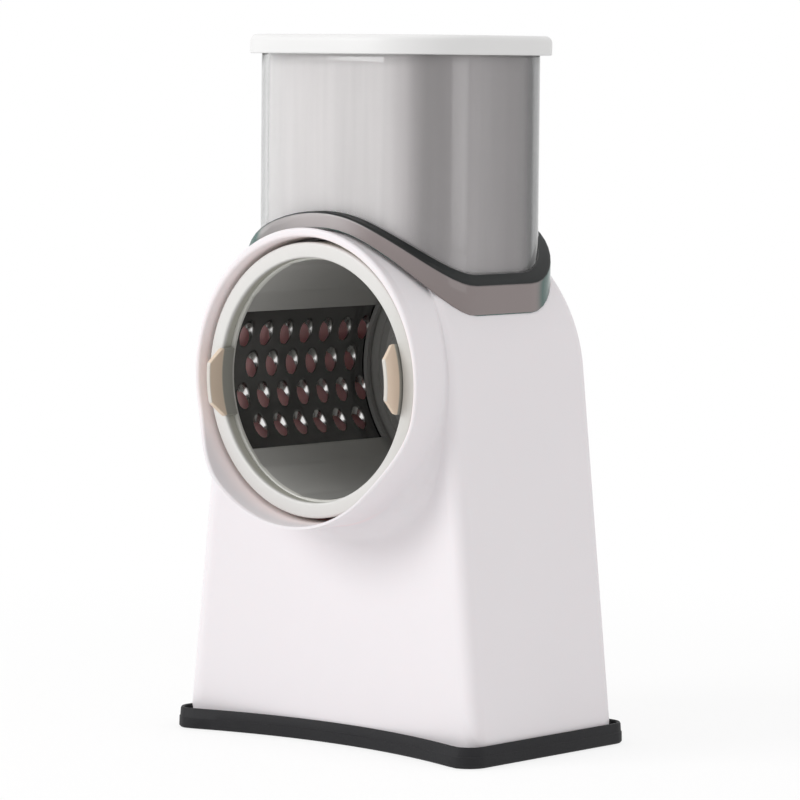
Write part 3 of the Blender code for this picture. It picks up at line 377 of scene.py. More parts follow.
def noise(tree, place, scale, detail=2.0):
    return (add(tree, "ShaderNodeTexNoise", {"Vector": place, "Scale": scale, "Detail": detail}), "Fac")


def surface(name, colours, gloss, cloud, grain, bump, stretch=(1, 1, 1), metal=0.0):
    """A material that drifts between two colours and two roughnesses, with a fine grain in its bump.

    gloss holds what spread needs; cloud and grain are the (scale, detail) of a noise, bump is (strength, depth)."""
    made = bpy.data.materials.new(name)
    made.use_nodes = True
    tree = made.node_tree.nodes
    place = (add(tree, "ShaderNodeTexCoord"), "Object")
    drift = noise(tree, place, *cloud)
    marks = noise(tree, (add(tree, "ShaderNodeMapping", {"Vector": place, "Scale": stretch}), 0), *grain)
    lumps = add(tree, "ShaderNodeBump", {"Height": marks, "Strength": bump[0], "Distance": bump[1]})
    looks = {"Base Color": blended(drift, *colours), "Roughness": spread(drift, *gloss)}
    feed(tree["Principled BSDF"], {**looks, "Normal": (lumps, "Normal"), "Metallic": metal})
    return made


def moulded_plastic(name, colour, roughness, tint=None, grain=0.02, mottle=0.02, coat=0.0, scale=900.0):
    """Moulded plastic: a faint drift of colour and gloss, and a fine moulding grain."""
    colours = (colour, tint or tuple(c * (1 - mottle) for c in colour))
    gloss = (0.15, 0.85, roughness * 0.9, roughness * 1.12)
    made = surface(name, colours, gloss, (22.0, 3.0), (scale, 2.0), (grain, 0.0004))
    feed(made.node_tree.nodes["Principled BSDF"], {"Coat Weight": coat, "Coat Roughness": 0.08})
    return made


def apart(first, second):
    """The length of a line from its two sides."""
    return figure("SQRT", figure("ADD", both(first, first), both(second, second)))


def coordinates(tree):
    """The point on the piece by axis, and R, its distance from the drum's axis."""
    split = add(tree, "ShaderNodeSeparateXYZ", {0: (add(tree, "ShaderNodeTexCoord"), "Object")})
    at = {axis: (split, axis) for axis in "XYZ"}
    return {**at, "R": apart(at["X"], figure("SUBTRACT", at["Z"], AXIS_Z))}


def share_at(at, *spans):
    """1 where every span is full. A span holds a coordinate, its figure at nothing and its figure at full."""
    return functools.reduce(
        both, [spread(at[axis], min(a, b), max(a, b), float(a > b), float(a < b)) for axis, a, b in spans]
    )


def tints(at, paint, *bands):
    """The paint with bands laid over it, each a colour and the spans where it lies."""
    for colour, *spans in bands:
        paint = blended(share_at(at, *spans), paint, colour)
    return paint


def tinted(material, *bands):
    """Lays tints by place over a material's paint."""
    tree = material.node_tree.nodes
    shader = tree["Principled BSDF"]
    paint = (shader.inputs["Base Color"].links[0].from_node, "Result")
    feed(shader, {"Base Color": tints(coordinates(tree), paint, *bands)})


shell_white = moulded_plastic("shell_white_plastic", (0.80, 0.768, 0.79), 0.46)
on_wall = ("R", MOUTH_R + 0.0028, MOUTH_R + 0.0005)
# Painted shade: the bore just inside the mouth's rim is painted a pale shaded pink, and the chamber wall behind it,
# seen through the sheets' holes, a deeper painted pink shade.
tinted(
    shell_white,
    ((0.99, 0.88, 0.88), on_wall, ("Y", -0.0600, -0.0495), ("Y", -0.0360, -0.0400)),
    ((0.99, 0.60, 0.60), on_wall, ("Y", -0.0440, -0.0420), ("Y", CHAMBER_BACK + 0.0015, CHAMBER_BACK + 0.0003)),
)
softness = {"Subsurface Weight": 0.05, "Subsurface Scale": 0.004, "Subsurface Radius": (1.0, 0.5, 0.45)}
feed(shell_white.node_tree.nodes["Principled BSDF"], {"Specular IOR Level": 0.4, **softness})


def chin_share(angle):
    """0 on the upper rim of the mouth, 1 on its lower lip, which stands out as a chin."""
    below = math.degrees(math.asin(max(0.0, -math.sin(angle))))
    share = min(max((below - CHIN_START) / (CHIN_FULL - CHIN_START), 0.0), 1.0)
    return share * share * (3 - 2 * share)


def outline_reach(across, upward):
    """How far from the drum's axis a ray in the front view meets the housing's outline."""
    low, high = 0.02, 0.25
    for _ in range(44):
        middle = (low + high) / 2
        x, z = middle * across, AXIS_Z + middle * upward
        if inside_edge(x, z) > 0 and z > HOUSING_BOTTOM:
            low = middle
        else:
            high = middle
    return low


corner_angle = math.atan2(HOUSING_BOTTOM - AXIS_Z, FOOT_HALF_WIDTH)
upper_turns = np.linspace(corner_angle, math.pi - corner_angle, 260, endpoint=False)
lower_turns = np.linspace(math.pi - corner_angle, 2 * math.pi + corner_angle, 64, endpoint=False)
back_stations = np.concatenate([np.linspace(0, 0.9, 10, endpoint=False), np.linspace(0.9, 1, 16)])
steps = 1 - (1 - np.linspace(0, 1, 300)) ** 2
fall = np.linspace(0, 1, 9)[1:]
rim_r = MOUTH_R + MOUTH_OPENING
rays = []
for angle in np.concatenate([upper_turns, lower_turns]):
    across, upward = math.cos(angle), math.sin(angle)
    reach = outline_reach(across, upward)
    chin = chin_share(angle)
    rim = MOUTH_FRONT - CHIN_REACH * chin
    tube_r = TUBE_R - CHIN_THIN * max(0.0, -upward) ** 3
    tube_end = tube_r + TUBE_FLARE * max(0.0, upward) ** 2
    bead = BEAD_RISE * max(0.0, upward) ** 1.5
    blend = min(TUBE_BLEND + (CHIN_BLEND - TUBE_BLEND) * chin, 0.4 * (reach - tube_end))
    radii = tube_end + blend + (reach - tube_end - blend) * steps
    face = np.stack([radii, front_y(radii * across, AXIS_Z + radii * upward)], axis=1)
    face = along_path(face, np.linspace(0, 1, 40))
    radii = BUSH_HOLE_R + (reach - BUSH_HOLE_R) * steps
    rear = np.stack([radii, back_y(radii * across, AXIS_Z + radii * upward)], axis=1)
    rear = along_path(rear, back_stations)
    bends = quarter(blend, [0, 12, 24, 36, 48, 60, 72, 82])
    crease = np.array([(tube_end + out, face[0, 1] - fore) for out, fore in bends])
    bead_radii = tube_r + bead * (0.5 + 0.5 * np.cos(math.pi * fall))
    bead_places = rim + LIP_OUT + fall * (BEAD_LENGTH + (crease[0, 1] - rim - BEAD_LENGTH) * 0.3 * chin)
    taper = np.linspace(MOUTH_TAPER_START, rim + LIP_IN, 6)
    path = np.concatenate(
        [
            [(BUSH_HOLE_R, CHAMBER_BACK), (0.030, CHAMBER_BACK)],
            arc_path((MOUTH_R - 0.001, CHAMBER_BACK - 0.001), 0.001, 90, 0, 4),
            np.stack([np.full(8, MOUTH_R), np.linspace(0.03, MOUTH_TAPER_START, 8)], axis=1),
            np.stack([np.linspace(MOUTH_R, rim_r, 6), taper], axis=1)[1:],
            arc_path((rim_r + LIP_IN, rim + LIP_IN), LIP_IN, 180, 270, 5)[1:],
            arc_path((tube_r + bead - LIP_OUT, rim + LIP_OUT), LIP_OUT, 270, 360, 7),
            np.stack([bead_radii, bead_places], axis=1),
            [(tube_end, crease[0, 1] - 0.0002)],
            crease,
            face,
            np.stack([np.full(14, reach), np.linspace(face[-1, 1], rear[-1, 1], 16)[1:-1]], axis=1),
            rear[::-1],
        ]
    )
    rays.append(np.stack([path[:, 0] * across, path[:, 1], AXIS_Z + path[:, 0] * upward], axis=1))
housing = woven("housing_shell", rays, None, shell_white, round_rows=True)
cavity_layers = []
for z in (CAVITY_LOW, CAVITY_TOP):
    wide, rear = leg_width(z, WALL), HOUSING_BACK - WALL
    corners = [(-wide, CAVITY_FRONT), (wide, CAVITY_FRONT), (wide, rear), (-wide, rear)]
    cavity_layers.append(at_height(np.array(corners), z))
cavity = stacked("tool", cavity_layers)
chamber_ring = arc_path((0, AXIS_Z), TUBE_R, 0, 357, 120)
carve(cavity, stacked("tool", [upright(chamber_ring, y) for y in (-0.08, 0.08)]))
carve(housing, cavity)
carve(housing, stacked("tool", layers_of(chute_plan, [(FEED_GAP, FEED_FLOOR), (FEED_GAP, 0.3)])))
carve(housing, block(*LEVER_SLOT))
housing.data.materials.clear()
housing.data.materials.append(shell_white)
soften(housing.data, 38)
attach(housing, "housing")
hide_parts("housing")

# ---- Hopper: one clear moulding with a grey smoke tint. The chute runs down through the arch; round its foot a
# shoulder and a short skirt saddle the arch of the housing.

SHOULDER_R = 0.0677
UNDER_SHOULDER_R = 0.0654
SADDLE_R = 0.0613
SKIRT_HALF_WIDTH = 0.0542
SKIRT_HALF_DEPTH = 0.0481
SKIRT_CORNER = 0.0320
SKIRT_ROUND = 0.0010
HOPPER_TOP = 0.2677
HOPPER_EDGE = 0.0006
CHUTE_WALL = 0.0023
CHUTE_FLOOR = 0.1683
DRUM_CLEAR_R = 0.0537
FOOT_ROUND = 0.0004
COLLAR_DENSE = 0.75

smoke_clear = bpy.data.materials.new("smoked_clear_plastic")
smoke_clear.use_nodes = True
tree = smoke_clear.node_tree.nodes
place = add(tree, "ShaderNodeTexCoord")
at = coordinates(tree)
at["across"] = figure("ABSOLUTE", at["X"])
at["edge"] = (add(tree, "ShaderNodeLayerWeight", {"Blend": 0.5}), "Facing")
at["up"] = (add(tree, "ShaderNodeSeparateXYZ", {0: (place, "Normal")}), "Z")
at["arch"] = apart(at["X"], figure("SUBTRACT", at["Z"], ARCH_Z))
past_flat = figure("MAXIMUM", figure("SUBTRACT", at["across"], HOPPER_HALF_WIDTH - HOPPER_CORNER), 0.0)
past_face = figure("SUBTRACT", figure("ABSOLUTE", at["Y"]), HOPPER_HALF_DEPTH - HOPPER_CORNER)
at["plan"] = apart(past_flat, figure("MAXIMUM", past_face, 0.0))
stretched = add(tree, "ShaderNodeMapping", {"Vector": (place, "Object"), "Scale": (1.0, 1.0, 0.03)})

# The chute's base colour is painted light and shade: light on the front and brighter still at the left front, darker
# across the side corners, on the side walls and towards the back.
painted_side_shade = add(tree, "ShaderNodeValToRGB", {0: figure("DIVIDE", at["across"], HOPPER_HALF_WIDTH)})
painted_side_shade.color_ramp.interpolation = "B_SPLINE"
stops = painted_side_shade.color_ramp.elements
stops[0].position, stops[0].color = 0.56, (1.0, 0.985, 0.985, 1)
stops[1].position, stops[1].color = 0.99, (0.70, 0.68, 0.685, 1)
for position, tone in ((0.69, 0.97), (0.78, 0.68), (0.86, 0.66)):
    stops.new(position).color = (tone, tone * 0.975, tone * 0.98, 1)
chute_painted_light = tints(
    at,
    (painted_side_shade, 0),
    (tints(at, (0.82, 0.80, 0.805), ((0.58, 0.565, 0.57), ("Y", -0.020, 0.022))), ("across", 0.0480, 0.0505)),
    ((0.34, 0.34, 0.345), ("Y", 0.014, 0.032), ("across", 0.022, 0.036)),
    ((1.0, 0.99, 0.99), ("X", -0.010, -0.030), ("Y", 0.004, -0.012)),
)
# The grazing edges are darkened for the smoke's long path through the wall, and the right edge is darkened more than
# the left: painted shade.
left_edge = tints(at, chute_painted_light, ((0.36, 0.36, 0.36), ("edge", 0.50, 0.72)))
right_edge = tints(at, chute_painted_light, ((0.12, 0.12, 0.12), ("edge", 0.34, 0.56)))
chute_painted_light = tints(at, left_edge, (right_edge, ("X", -0.005, 0.005)))
streaks = spread(noise(tree, (stretched, 0), 260.0), 0.35, 0.65, 0.0, 0.06)
chute_painted_light = blended(streaks, chute_painted_light, (0.40, 0.40, 0.40))
# The collar's paint is lighter on its left and darker on its right: painted light and shade. Its edges turn green
# where the path through the plastic is long. On the black shelf, a lighter patch at the front left is a painted
# highlight.
on_shelf = share_at(at, ("arch", 0.0668, 0.0672), ("up", 0.15, 0.35))
shelf_painted_highlight = ((0.08, 0.085, 0.09), ("X", 0.006, -0.028), ("Y", -0.022, -0.034))
collar_tint_and_shade = tints(
    at,
    (0.36, 0.345, 0.34),
    ((0.56, 0.52, 0.52), ("X", -0.030, -0.004)),
    ((0.315, 0.27, 0.265), ("X", 0.006, 0.030)),
    ((0.04, 0.115, 0.10), ("edge", 0.42, 0.60)),
    ((0.012, 0.06, 0.05), ("edge", 0.80, 0.94)),
)
collar_tint_and_shade = blended(on_shelf, collar_tint_and_shade, tints(at, (0.004, 0.0055, 0.0055), shelf_painted_highlight))
on_collar = share_at(at, ("plan", HOPPER_CORNER + 0.0001, HOPPER_CORNER + 0.0003))
polish = spread(noise(tree, (place, "Object"), 60.0), 0.3, 0.7, 0.03, 0.07)
feed(
    tree["Principled BSDF"],
    {
        "IOR": 1.46,
        "Specular IOR Level": 0.35,
        "Base Color": blended(on_collar, chute_painted_light, collar_tint_and_shade),
        "Transmission Weight": figure("SUBTRACT", 1.0, both(on_collar, COLLAR_DENSE)),
        "Roughness": figure("ADD", both(on_shelf, 0.5), polish),
    },
)
smoke = add(tree, "ShaderNodeVolumeAbsorption", {"Color": (0.46, 0.60, 0.58), "Density": 8.0})
feed(tree["Material Output"], {"Volume": (smoke, 0)})


def cylinder_z(centre_z, radius, x):
    return centre_z + np.sqrt(np.maximum(radius**2 - x**2, 1e-9))


def over_arch(plan, radius):
    """The height over each point of the plan of a cylinder round the arch's centre."""
    return cylinder_z(ARCH_Z, radius, plan[:, 0])


def skirt_plan(grow):
    return rounded_plan(SKIRT_HALF_WIDTH + grow, SKIRT_HALF_DEPTH + grow, SKIRT_CORNER + grow)


def between(plan, first, last, shares):
    """Layers of one plan that go from the first height to the last."""
    return [at_height(plan, first * (1 - share) + last * share) for share in shares]


def clear_of_drum(plan):
    """The chute's lower edge: flat, or raised where the drum needs room."""
    x = np.clip(plan[:, 0], -0.0535, 0.0535)
    return np.maximum(CHUTE_FLOOR, cylinder_z(AXIS_Z, DRUM_CLEAR_R, x))


inner, outer, foot = chute_plan(-CHUTE_WALL), chute_plan(0.0), chute_plan(FOOT_ROUND)
skirt_outer, skirt_inner = skirt_plan(0.0), skirt_plan(-CHUTE_WALL)
skirt_low, skirt_low_in = over_arch(skirt_outer, SADDLE_R), over_arch(skirt_inner, SADDLE_R)
rim = [(-CHUTE_WALL, HOPPER_TOP - HOPPER_EDGE), (-CHUTE_WALL + HOPPER_EDGE, HOPPER_TOP)]
layers = layers_of(chute_plan, [*rim, (-0.0008, HOPPER_TOP), (-0.0002, HOPPER_TOP - 0.0003)])
layers += between(outer, HOPPER_TOP - 0.001, over_arch(outer, SHOULDER_R) + FOOT_ROUND, np.linspace(0, 1, 14))
for grow, lift in quarter(FOOT_ROUND, [22.5, 45, 67.5]):
    plan = chute_plan(grow)
    layers.append(at_height(plan, over_arch(plan, SHOULDER_R) + lift))
for share in np.linspace(0, 1, 4):
    plan = foot + (skirt_plan(-SKIRT_ROUND) - foot) * share
    layers.append(at_height(plan, over_arch(plan, SHOULDER_R)))
for drop, inset in quarter(SKIRT_ROUND, [18, 36, 54, 72, 90]):
    plan = skirt_plan(-inset)
    layers.append(at_height(plan, over_arch(plan, SHOULDER_R) - drop))
layers += between(skirt_outer, layers[-1][:, 2], skirt_low + 0.0006, (0.35, 0.7))
layers += [at_height(skirt_outer, skirt_low + 0.0005), at_height(skirt_plan(-0.0005), skirt_low)]
layers.append(at_height(skirt_plan(-CHUTE_WALL + 0.0004), skirt_low_in))
layers += between(skirt_inner, skirt_low_in, over_arch(skirt_inner, UNDER_SHOULDER_R), (0.1, 0.8))
for share in np.linspace(0.15, 1, 4):
    plan = skirt_inner + (outer - skirt_inner) * share
    layers.append(at_height(plan, over_arch(plan, UNDER_SHOULDER_R)))
layers += between(outer, over_arch(outer, UNDER_SHOULDER_R), clear_of_drum(outer), (0.3, 0.65, 1.0))
layers += between(inner, clear_of_drum(inner), HOPPER_TOP - HOPPER_EDGE, np.linspace(0, 1, 9)[:-1])
hopper = woven("hopper_chute", layers, "hopper", smoke_clear, slot="smoked_plastic", round_rows=True)
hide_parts("hopper")

# ---- Pusher: a hollow white plunger that fills the chute, its press plate curved to the drum, and the broad lid
# that snaps into its top and rests on the chute's rim.

PUSHER_OUT = -0.0031
PUSHER_IN = -0.0051
PRESS_R = 0.0552
PRESS_TOP_R = 0.0574


def press_layer(plan, radius, lift=0.0):
    return at_height(plan, cylinder_z(AXIS_Z, radius, np.clip(plan[:, 0], -0.055, 0.055)) + lift)


pusher_white = moulded_plastic("pusher_white_plastic", (0.94, 0.93, 0.93), 0.4)
outside, inside = chute_plan(PUSHER_OUT), chute_plan(PUSHER_IN)
press_outside, press_inside = press_layer(outside, PRESS_R)[:, 2], press_layer(inside, PRESS_TOP_R)[:, 2]
layers = [press_layer(outside * share, PRESS_R) for share in (0.0, 0.2, 0.4, 0.6, 0.8, 0.97)]
layers.append(press_layer(outside, PRESS_R, 0.0008))
layers += between(outside, press_outside, HOPPER_TOP - 0.0004, np.linspace(0.1, 1, 8))
layers += [at_height(chute_plan(PUSHER_OUT - 0.0004), HOPPER_TOP), at_height(inside, HOPPER_TOP)]
layers += between(inside, HOPPER_TOP, press_inside, np.linspace(0, 1, 8)[1:])
layers += [press_layer(inside * share, PRESS_TOP_R) for share in (0.8, 0.6, 0.4, 0.2, 0.0)]
pusher = woven("pusher_plunger", layers, "pusher", pusher_white, slot="white_plastic")
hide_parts("pusher_body")

LID_OVERHANG = 0.0046
LID_LOW = 0.2680
LID_LIP_LOW = 0.2673
LID_LIP_IN = 0.0009
LID_TOP = 0.2748
LID_ROUND = 0.0026
PLUG_OUT = -0.0054
PLUG_LOW = 0.2610
PLUG_WALL = 0.0020
PLUG_CEILING = 0.2713
layers = [at_height(chute_plan(PLUG_OUT - PLUG_WALL) * 0.02, PLUG_CEILING)]
layers += layers_of(
    chute_plan,
    [
        *[(PLUG_OUT - 0.0030, PLUG_CEILING), (PLUG_OUT - PLUG_WALL, PLUG_CEILING - 0.0008)],
        *[(PLUG_OUT - PLUG_WALL, PLUG_LOW), (PLUG_OUT - 0.0005, PLUG_LOW), (PLUG_OUT, PLUG_LOW + 0.0006)],
        *[(PLUG_OUT, LID_LOW), (LID_LIP_IN, LID_LOW), (LID_LIP_IN + 0.0003, LID_LIP_LOW)],
        *[(LID_OVERHANG - 0.0004, LID_LIP_LOW), (LID_OVERHANG, LID_LIP_LOW + 0.0004)],
        (LID_OVERHANG, LID_LOW + 0.0020),
        *[(LID_OVERHANG - inset, LID_TOP - drop) for inset, drop in quarter(LID_ROUND, np.linspace(0, 90, 8))],
    ],
)
layers += [at_height(chute_plan(LID_OVERHANG - LID_ROUND) * share, LID_TOP) for share in (0.9, 0.5, 0.02)]
lid_white = moulded_plastic("lid_white_plastic", (0.745, 0.745, 0.743), 0.5)
lid = stacked("pusher_cap", layers, "pusher", lid_white, slot="white_plastic")
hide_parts("pusher_lid")

# ---- Base tray: black rubber that the housing stands in. Its front is hollowed with the housing, it flares a
# little towards the floor, and a fine step runs round it at half its height.

TRAY_HALF_WIDTH = 0.0784
TRAY_FRONT = -0.0464
TRAY_BACK = 0.0510
TRAY_CORNER = 0.0090
TRAY_HOLLOW = 0.0120
TRAY_TOP = 0.0080
STEM_HOLE_R = 0.0049
SCREW_HOLE_R = 0.0019
rubber_black = moulded_plastic(
    "base_black_rubber", (0.013, 0.013, 0.0145), 0.6, tint=(0.018, 0.018, 0.020), grain=0.25, scale=1400.0
)
feed(rubber_black.node_tree.nodes["Principled BSDF"], {"Specular IOR Level": 0.22})


def tray_plan(inset):
    """The tray seen from above, its edge moved in by this much."""
    corner = max(TRAY_CORNER - inset, 0.004)
    across = TRAY_HALF_WIDTH - inset - corner
    front, back = TRAY_FRONT + inset, TRAY_BACK - inset
    hollow = [(share * across, front + TRAY_HOLLOW * (1 - share**2)) for share in np.linspace(-1, 1, 42)[1:-1]]
    return np.concatenate(
        [
            arc_path((across, back - corner), corner, 0, 90, 11),
            arc_path((-across, back - corner), corner, 90, 180, 11),
            arc_path((-across, front + corner), corner, 180, 262, 11),
            hollow,
            arc_path((across, front + corner), corner, 278, 360, 11),
        ]
    )


def hole_tool(place, radius):
    """A round cutting tool through the tray's floor."""
    loop = arc_path(place, radius, 0, 360, 25)[:-1]
    return stacked("tool", [at_height(loop, -0.002), at_height(loop, 0.0075)])


tray_steps = [
    *[(0.0030, 0.0036), (0.0030, 0.0004), (0.0026, 0.0), (0.0005, 0.0), (0.0, 0.0006), (0.0001, 0.0042)],
    *[(0.0004, 0.0045), (0.0006, TRAY_TOP - 0.0006), (0.0010, TRAY_TOP), (0.0016, TRAY_TOP)],
    *[(0.0020, TRAY_TOP - 0.0004), (0.0021, 0.0055)],
]
layers = layers_of(tray_plan, tray_steps)
tray = stacked("base_tray_rubber", layers, None, rubber_black, slot="black_rubber")
carve(tray, hole_tool((0, 0.008), STEM_HOLE_R))
for across in (-0.0685, 0.0685):
    for along in (-0.027, 0.035):
        carve(tray, hole_tool((across, along), SCREW_HOLE_R))
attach(tray, "housing")
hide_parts("base_tray")

# ---- Drum ring: the off-white front rim of the drum, a turned profile with softened edges. A thin sleeve behind
# it holds the front ends of the three sheets.

RING_R = 0.0530
RING_BORE = 0.0470
RING_FRONT = -0.0515
RING_BACK = -0.0465
SLEEVE_R = 0.0509
SLEEVE_BACK = -0.0385


def turned(name, profile, body=None, material=None, steps=160, centre=(0, 0, AXIS_Z), axis="Y", slot=None):
    """A lathe shape about a line through the centre. The profile holds (radius, place along that line): a closed
    loop, or a path that starts and ends on the line."""
    profile = np.asarray(profile, float)
    first, second, along = {"X": (1, 2, 0), "Y": (0, 2, 1), "Z": (0, 1, 2)}[axis]
    angles = np.repeat(np.linspace(0, 2 * math.pi, steps, endpoint=False), len(profile))
    radii, places = np.tile(profile, (steps, 1)).T
    points = np.empty((len(angles), 3))
    points[:, first] = centre[first] + radii * np.cos(angles)
    points[:, second] = centre[second] + radii * np.sin(angles)
    points[:, along] = places
    rows = points.reshape(steps, -1, 3)
    return woven(name, rows, body, material, slot, round_rows=True, round_columns=profile[0, 0] > 0)


ring_white = moulded_plastic("ring_white_plastic", (0.69, 0.685, 0.667), 0.4, mottle=0.05)
# Painted shade: the ring is darker on its right side and a darker grey inside its bore, behind the front face.
tinted(ring_white, ((0.58, 0.575, 0.55), ("X", 0.030, 0.052)), ((0.48, 0.48, 0.42), ("Y", -0.0508, -0.0492)))
ring_profile = np.concatenate(
    [
        arc_path((RING_R - 0.0010, RING_FRONT + 0.0010), 0.0010, 0, -90, 6),
        arc_path((RING_BORE + 0.0009, RING_FRONT + 0.0009), 0.0009, -90, -180, 6),
        [(RING_BORE, RING_BACK - 0.0004), (RING_BORE + 0.0004, RING_BACK)],
        [(SLEEVE_R, RING_BACK), (SLEEVE_R, SLEEVE_BACK), (RING_R, SLEEVE_BACK)],
    ]
)
ring = turned("drum_front_ring", ring_profile, "drum", ring_white, slot="white_plastic")
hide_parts("drum_ring")

# ---- Drum frame: a grey moulded tube with one window behind each sheet. Hoops close it at both ends, and the
# panels between the windows stand a hair proud of its bore.

FRAME_BORE = 0.0466
FRAME_OUT = 0.0484
FRAME_FRONT = -0.0462
FRAME_BACK = 0.0370
WINDOW_HALF = 0.0268
WINDOW_FRONT = -0.0444
WINDOW_BACK = 0.0344
WINDOW_LIP = 0.0004
WINDOW_LIP_HALF_TURN = 44
PANEL_PROUD = 0.0003
PANEL_HALF_TURN = 13.0
DRUM_TURN = 3.8
SHEET_TURNS = (180 + DRUM_TURN, 60 + DRUM_TURN, -60 + DRUM_TURN)
frame_grey = moulded_plastic("drum_grey_plastic", (0.42, 0.42, 0.402), 0.36, mottle=0.06, grain=0.03, coat=0.1)
# The front hoop is painted lighter, a painted highlight, and the back hoop darker, painted shade.
tinted(frame_grey, ((0.66, 0.66, 0.62), ("Y", -0.0443, -0.0448)), ((0.28, 0.28, 0.27), ("Y", 0.0290, 0.0345)))


def round_axis(degrees, profile):
    """A profile of (radius, y) turned to this angle about the drum's axis."""
    a = math.radians(degrees)
    return np.array([(r * math.cos(a), y, AXIS_Z + r * math.sin(a)) for r, y in profile])


frame_profile = [
    *[(FRAME_OUT, FRAME_FRONT + 0.0004), (FRAME_OUT - 0.0004, FRAME_FRONT), (FRAME_BORE + 0.0006, FRAME_FRONT)],
    *[(FRAME_BORE + 0.0002, FRAME_FRONT + 0.0002), (FRAME_BORE, FRAME_FRONT + 0.0006), (FRAME_BORE, WINDOW_FRONT)],
    *[(FRAME_BORE, 0.0), (FRAME_BORE, WINDOW_BACK), (FRAME_BORE, FRAME_BACK - 0.0005)],
    *[(FRAME_BORE + 0.0005, FRAME_BACK), (FRAME_OUT - 0.0003, FRAME_BACK), (FRAME_OUT, FRAME_BACK - 0.0003)],
]
BORE_POINTS = (5, 6, 7, 8)
frame_points = []
for degree in range(360):
    away = abs((degree - DRUM_TURN + 60) % 120 - 60)
    proud = PANEL_PROUD * min(max(PANEL_HALF_TURN + 0.5 - away, 0), 1)
    numbered = enumerate(frame_profile)
    frame_points.append(round_axis(degree, [(r - proud * (n in BORE_POINTS), y) for n, (r, y) in numbered]))
drum_frame = woven("drum_window_frame", frame_points, None, frame_grey, round_rows=True)
for turn in SHEET_TURNS:
    window = block((0.0350, WINDOW_FRONT, -WINDOW_HALF), (0.0540, WINDOW_BACK, WINDOW_HALF))
    window.data.transform(Matrix.Translation((0, 0, AXIS_Z)) @ Matrix.Rotation(-math.radians(turn), 4, "Y"))
    carve(drum_frame, window)
for turn in SHEET_TURNS:
    lip_layers = []
    for step in np.linspace(-WINDOW_LIP_HALF_TURN, WINDOW_LIP_HALF_TURN, 67):
        crest = FRAME_BORE - WINDOW_LIP * min(1.0, 0.05 + (WINDOW_LIP_HALF_TURN - abs(step)) / 5) ** 0.6
        lip_profile = [
            (FRAME_BORE + 0.0009, FRAME_FRONT + 0.0001),
            (crest + 0.0001, FRAME_FRONT + 0.0001),
            (crest, FRAME_FRONT + 0.0003),
            (crest, WINDOW_FRONT - 0.0003),
            (crest + 0.0001, WINDOW_FRONT - 0.0001),
            (FRAME_BORE + 0.0009, WINDOW_FRONT - 0.0001),
        ]
        lip_layers.append(round_axis(turn + step, lip_profile))
    carve(drum_frame, stacked("tool", lip_layers), "UNION")
edge = drum_frame.modifiers.new("window_edges", "BEVEL")
edge.width = 0.0003
edge.segments = 2
edge.limit_method = "ANGLE"
edge.angle_limit = math.radians(50)
soften(drum_frame.data, 32)
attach(drum_frame, "drum")
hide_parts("drum_frame")

# ---- Grater sheets: stainless steel, punched and drawn outwards from inside the drum. Each tooth is an oval dish
# whose deep end opens in a hole, in four staggered rows. The sheet is bent to the drum and snaps behind a window.

TOOTH_PITCH = 0.0116
LATTICE = TOOTH_PITCH / 18
CELL_HALF_WIDTH = 6 * LATTICE
CELL_HALF_HEIGHT = 0.0062
CELL_SIDE = 12
TOOTH_HALF_WIDTH = 0.0036
TOOTH_HALF_LENGTH = 0.0056
HOLE_HALF_WIDTH = 0.0031
HOLE_HALF_LENGTH = 0.0036
HOLE_LOW = 0.0017
LIP_LIFT = 0.0019
SHEET_MIDDLE = -0.0025
SHEET_R = 0.0488
SHEET_GAUGE = 0.0005
BORDER_HEIGHT = 0.0066
FRONT_STEPS = 7
cell_border = []
for corner_u, corner_v, step_u, step_v in ((1, -1, 0, 1), (1, 1, -1, 0), (-1, 1, 0, -1), (-1, -1, 1, 0)):
    for number in range(CELL_SIDE):
        cell_border.append((corner_u + step_u * number / 6, corner_v + step_v * number / 6))
cell_border = np.array(cell_border)
around = np.arctan2(cell_border[:, 1], cell_border[:, 0])
tooth_edge = np.column_stack([TOOTH_HALF_WIDTH * np.cos(around), TOOTH_HALF_LENGTH * np.sin(around)])
hole_edge = np.column_stack([HOLE_HALF_WIDTH * np.cos(around), HOLE_LOW + HOLE_HALF_LENGTH * np.sin(around)])
lift = LIP_LIFT * (0.04 + 0.96 * ((HOLE_LOW + HOLE_HALF_LENGTH - hole_edge[:, 1]) / (2 * HOLE_HALF_LENGTH)) ** 0.8)
cell_points = [at_height(cell_border * (CELL_HALF_WIDTH, CELL_HALF_HEIGHT), 0.0), at_height(tooth_edge * 1.03, 0.0)]
for share in (0.05, 0.2, 0.4, 0.6, 0.8, 0.93, 1.0):
    cell_points.append(at_height(tooth_edge + (hole_edge - tooth_edge) * share, lift * (share**1.3)))
cell_mesh = woven_mesh("tooth_cell", cell_points)

# The flat steel is painted dark, standing in for the dark inside of the drum that it reflects, and the drawn parts of
# each tooth are painted bright: painted highlights.
sheet_steel = surface(
    "grater_sheet_steel",
    ((0.15, 0.15, 0.147), (0.20, 0.197, 0.193)),
    (0.0, 1.0, 0.12, 0.26, "LINEAR"),
    (90.0, 2.0),
    (3200.0, 3.0),
    (0.05, 0.0002),
    stretch=(1.0, 0.04, 1.0),
    metal=1.0,
)
tinted(sheet_steel, ((0.78, 0.78, 0.77), ("R", SHEET_R + 0.0002, SHEET_R + 0.0006)))

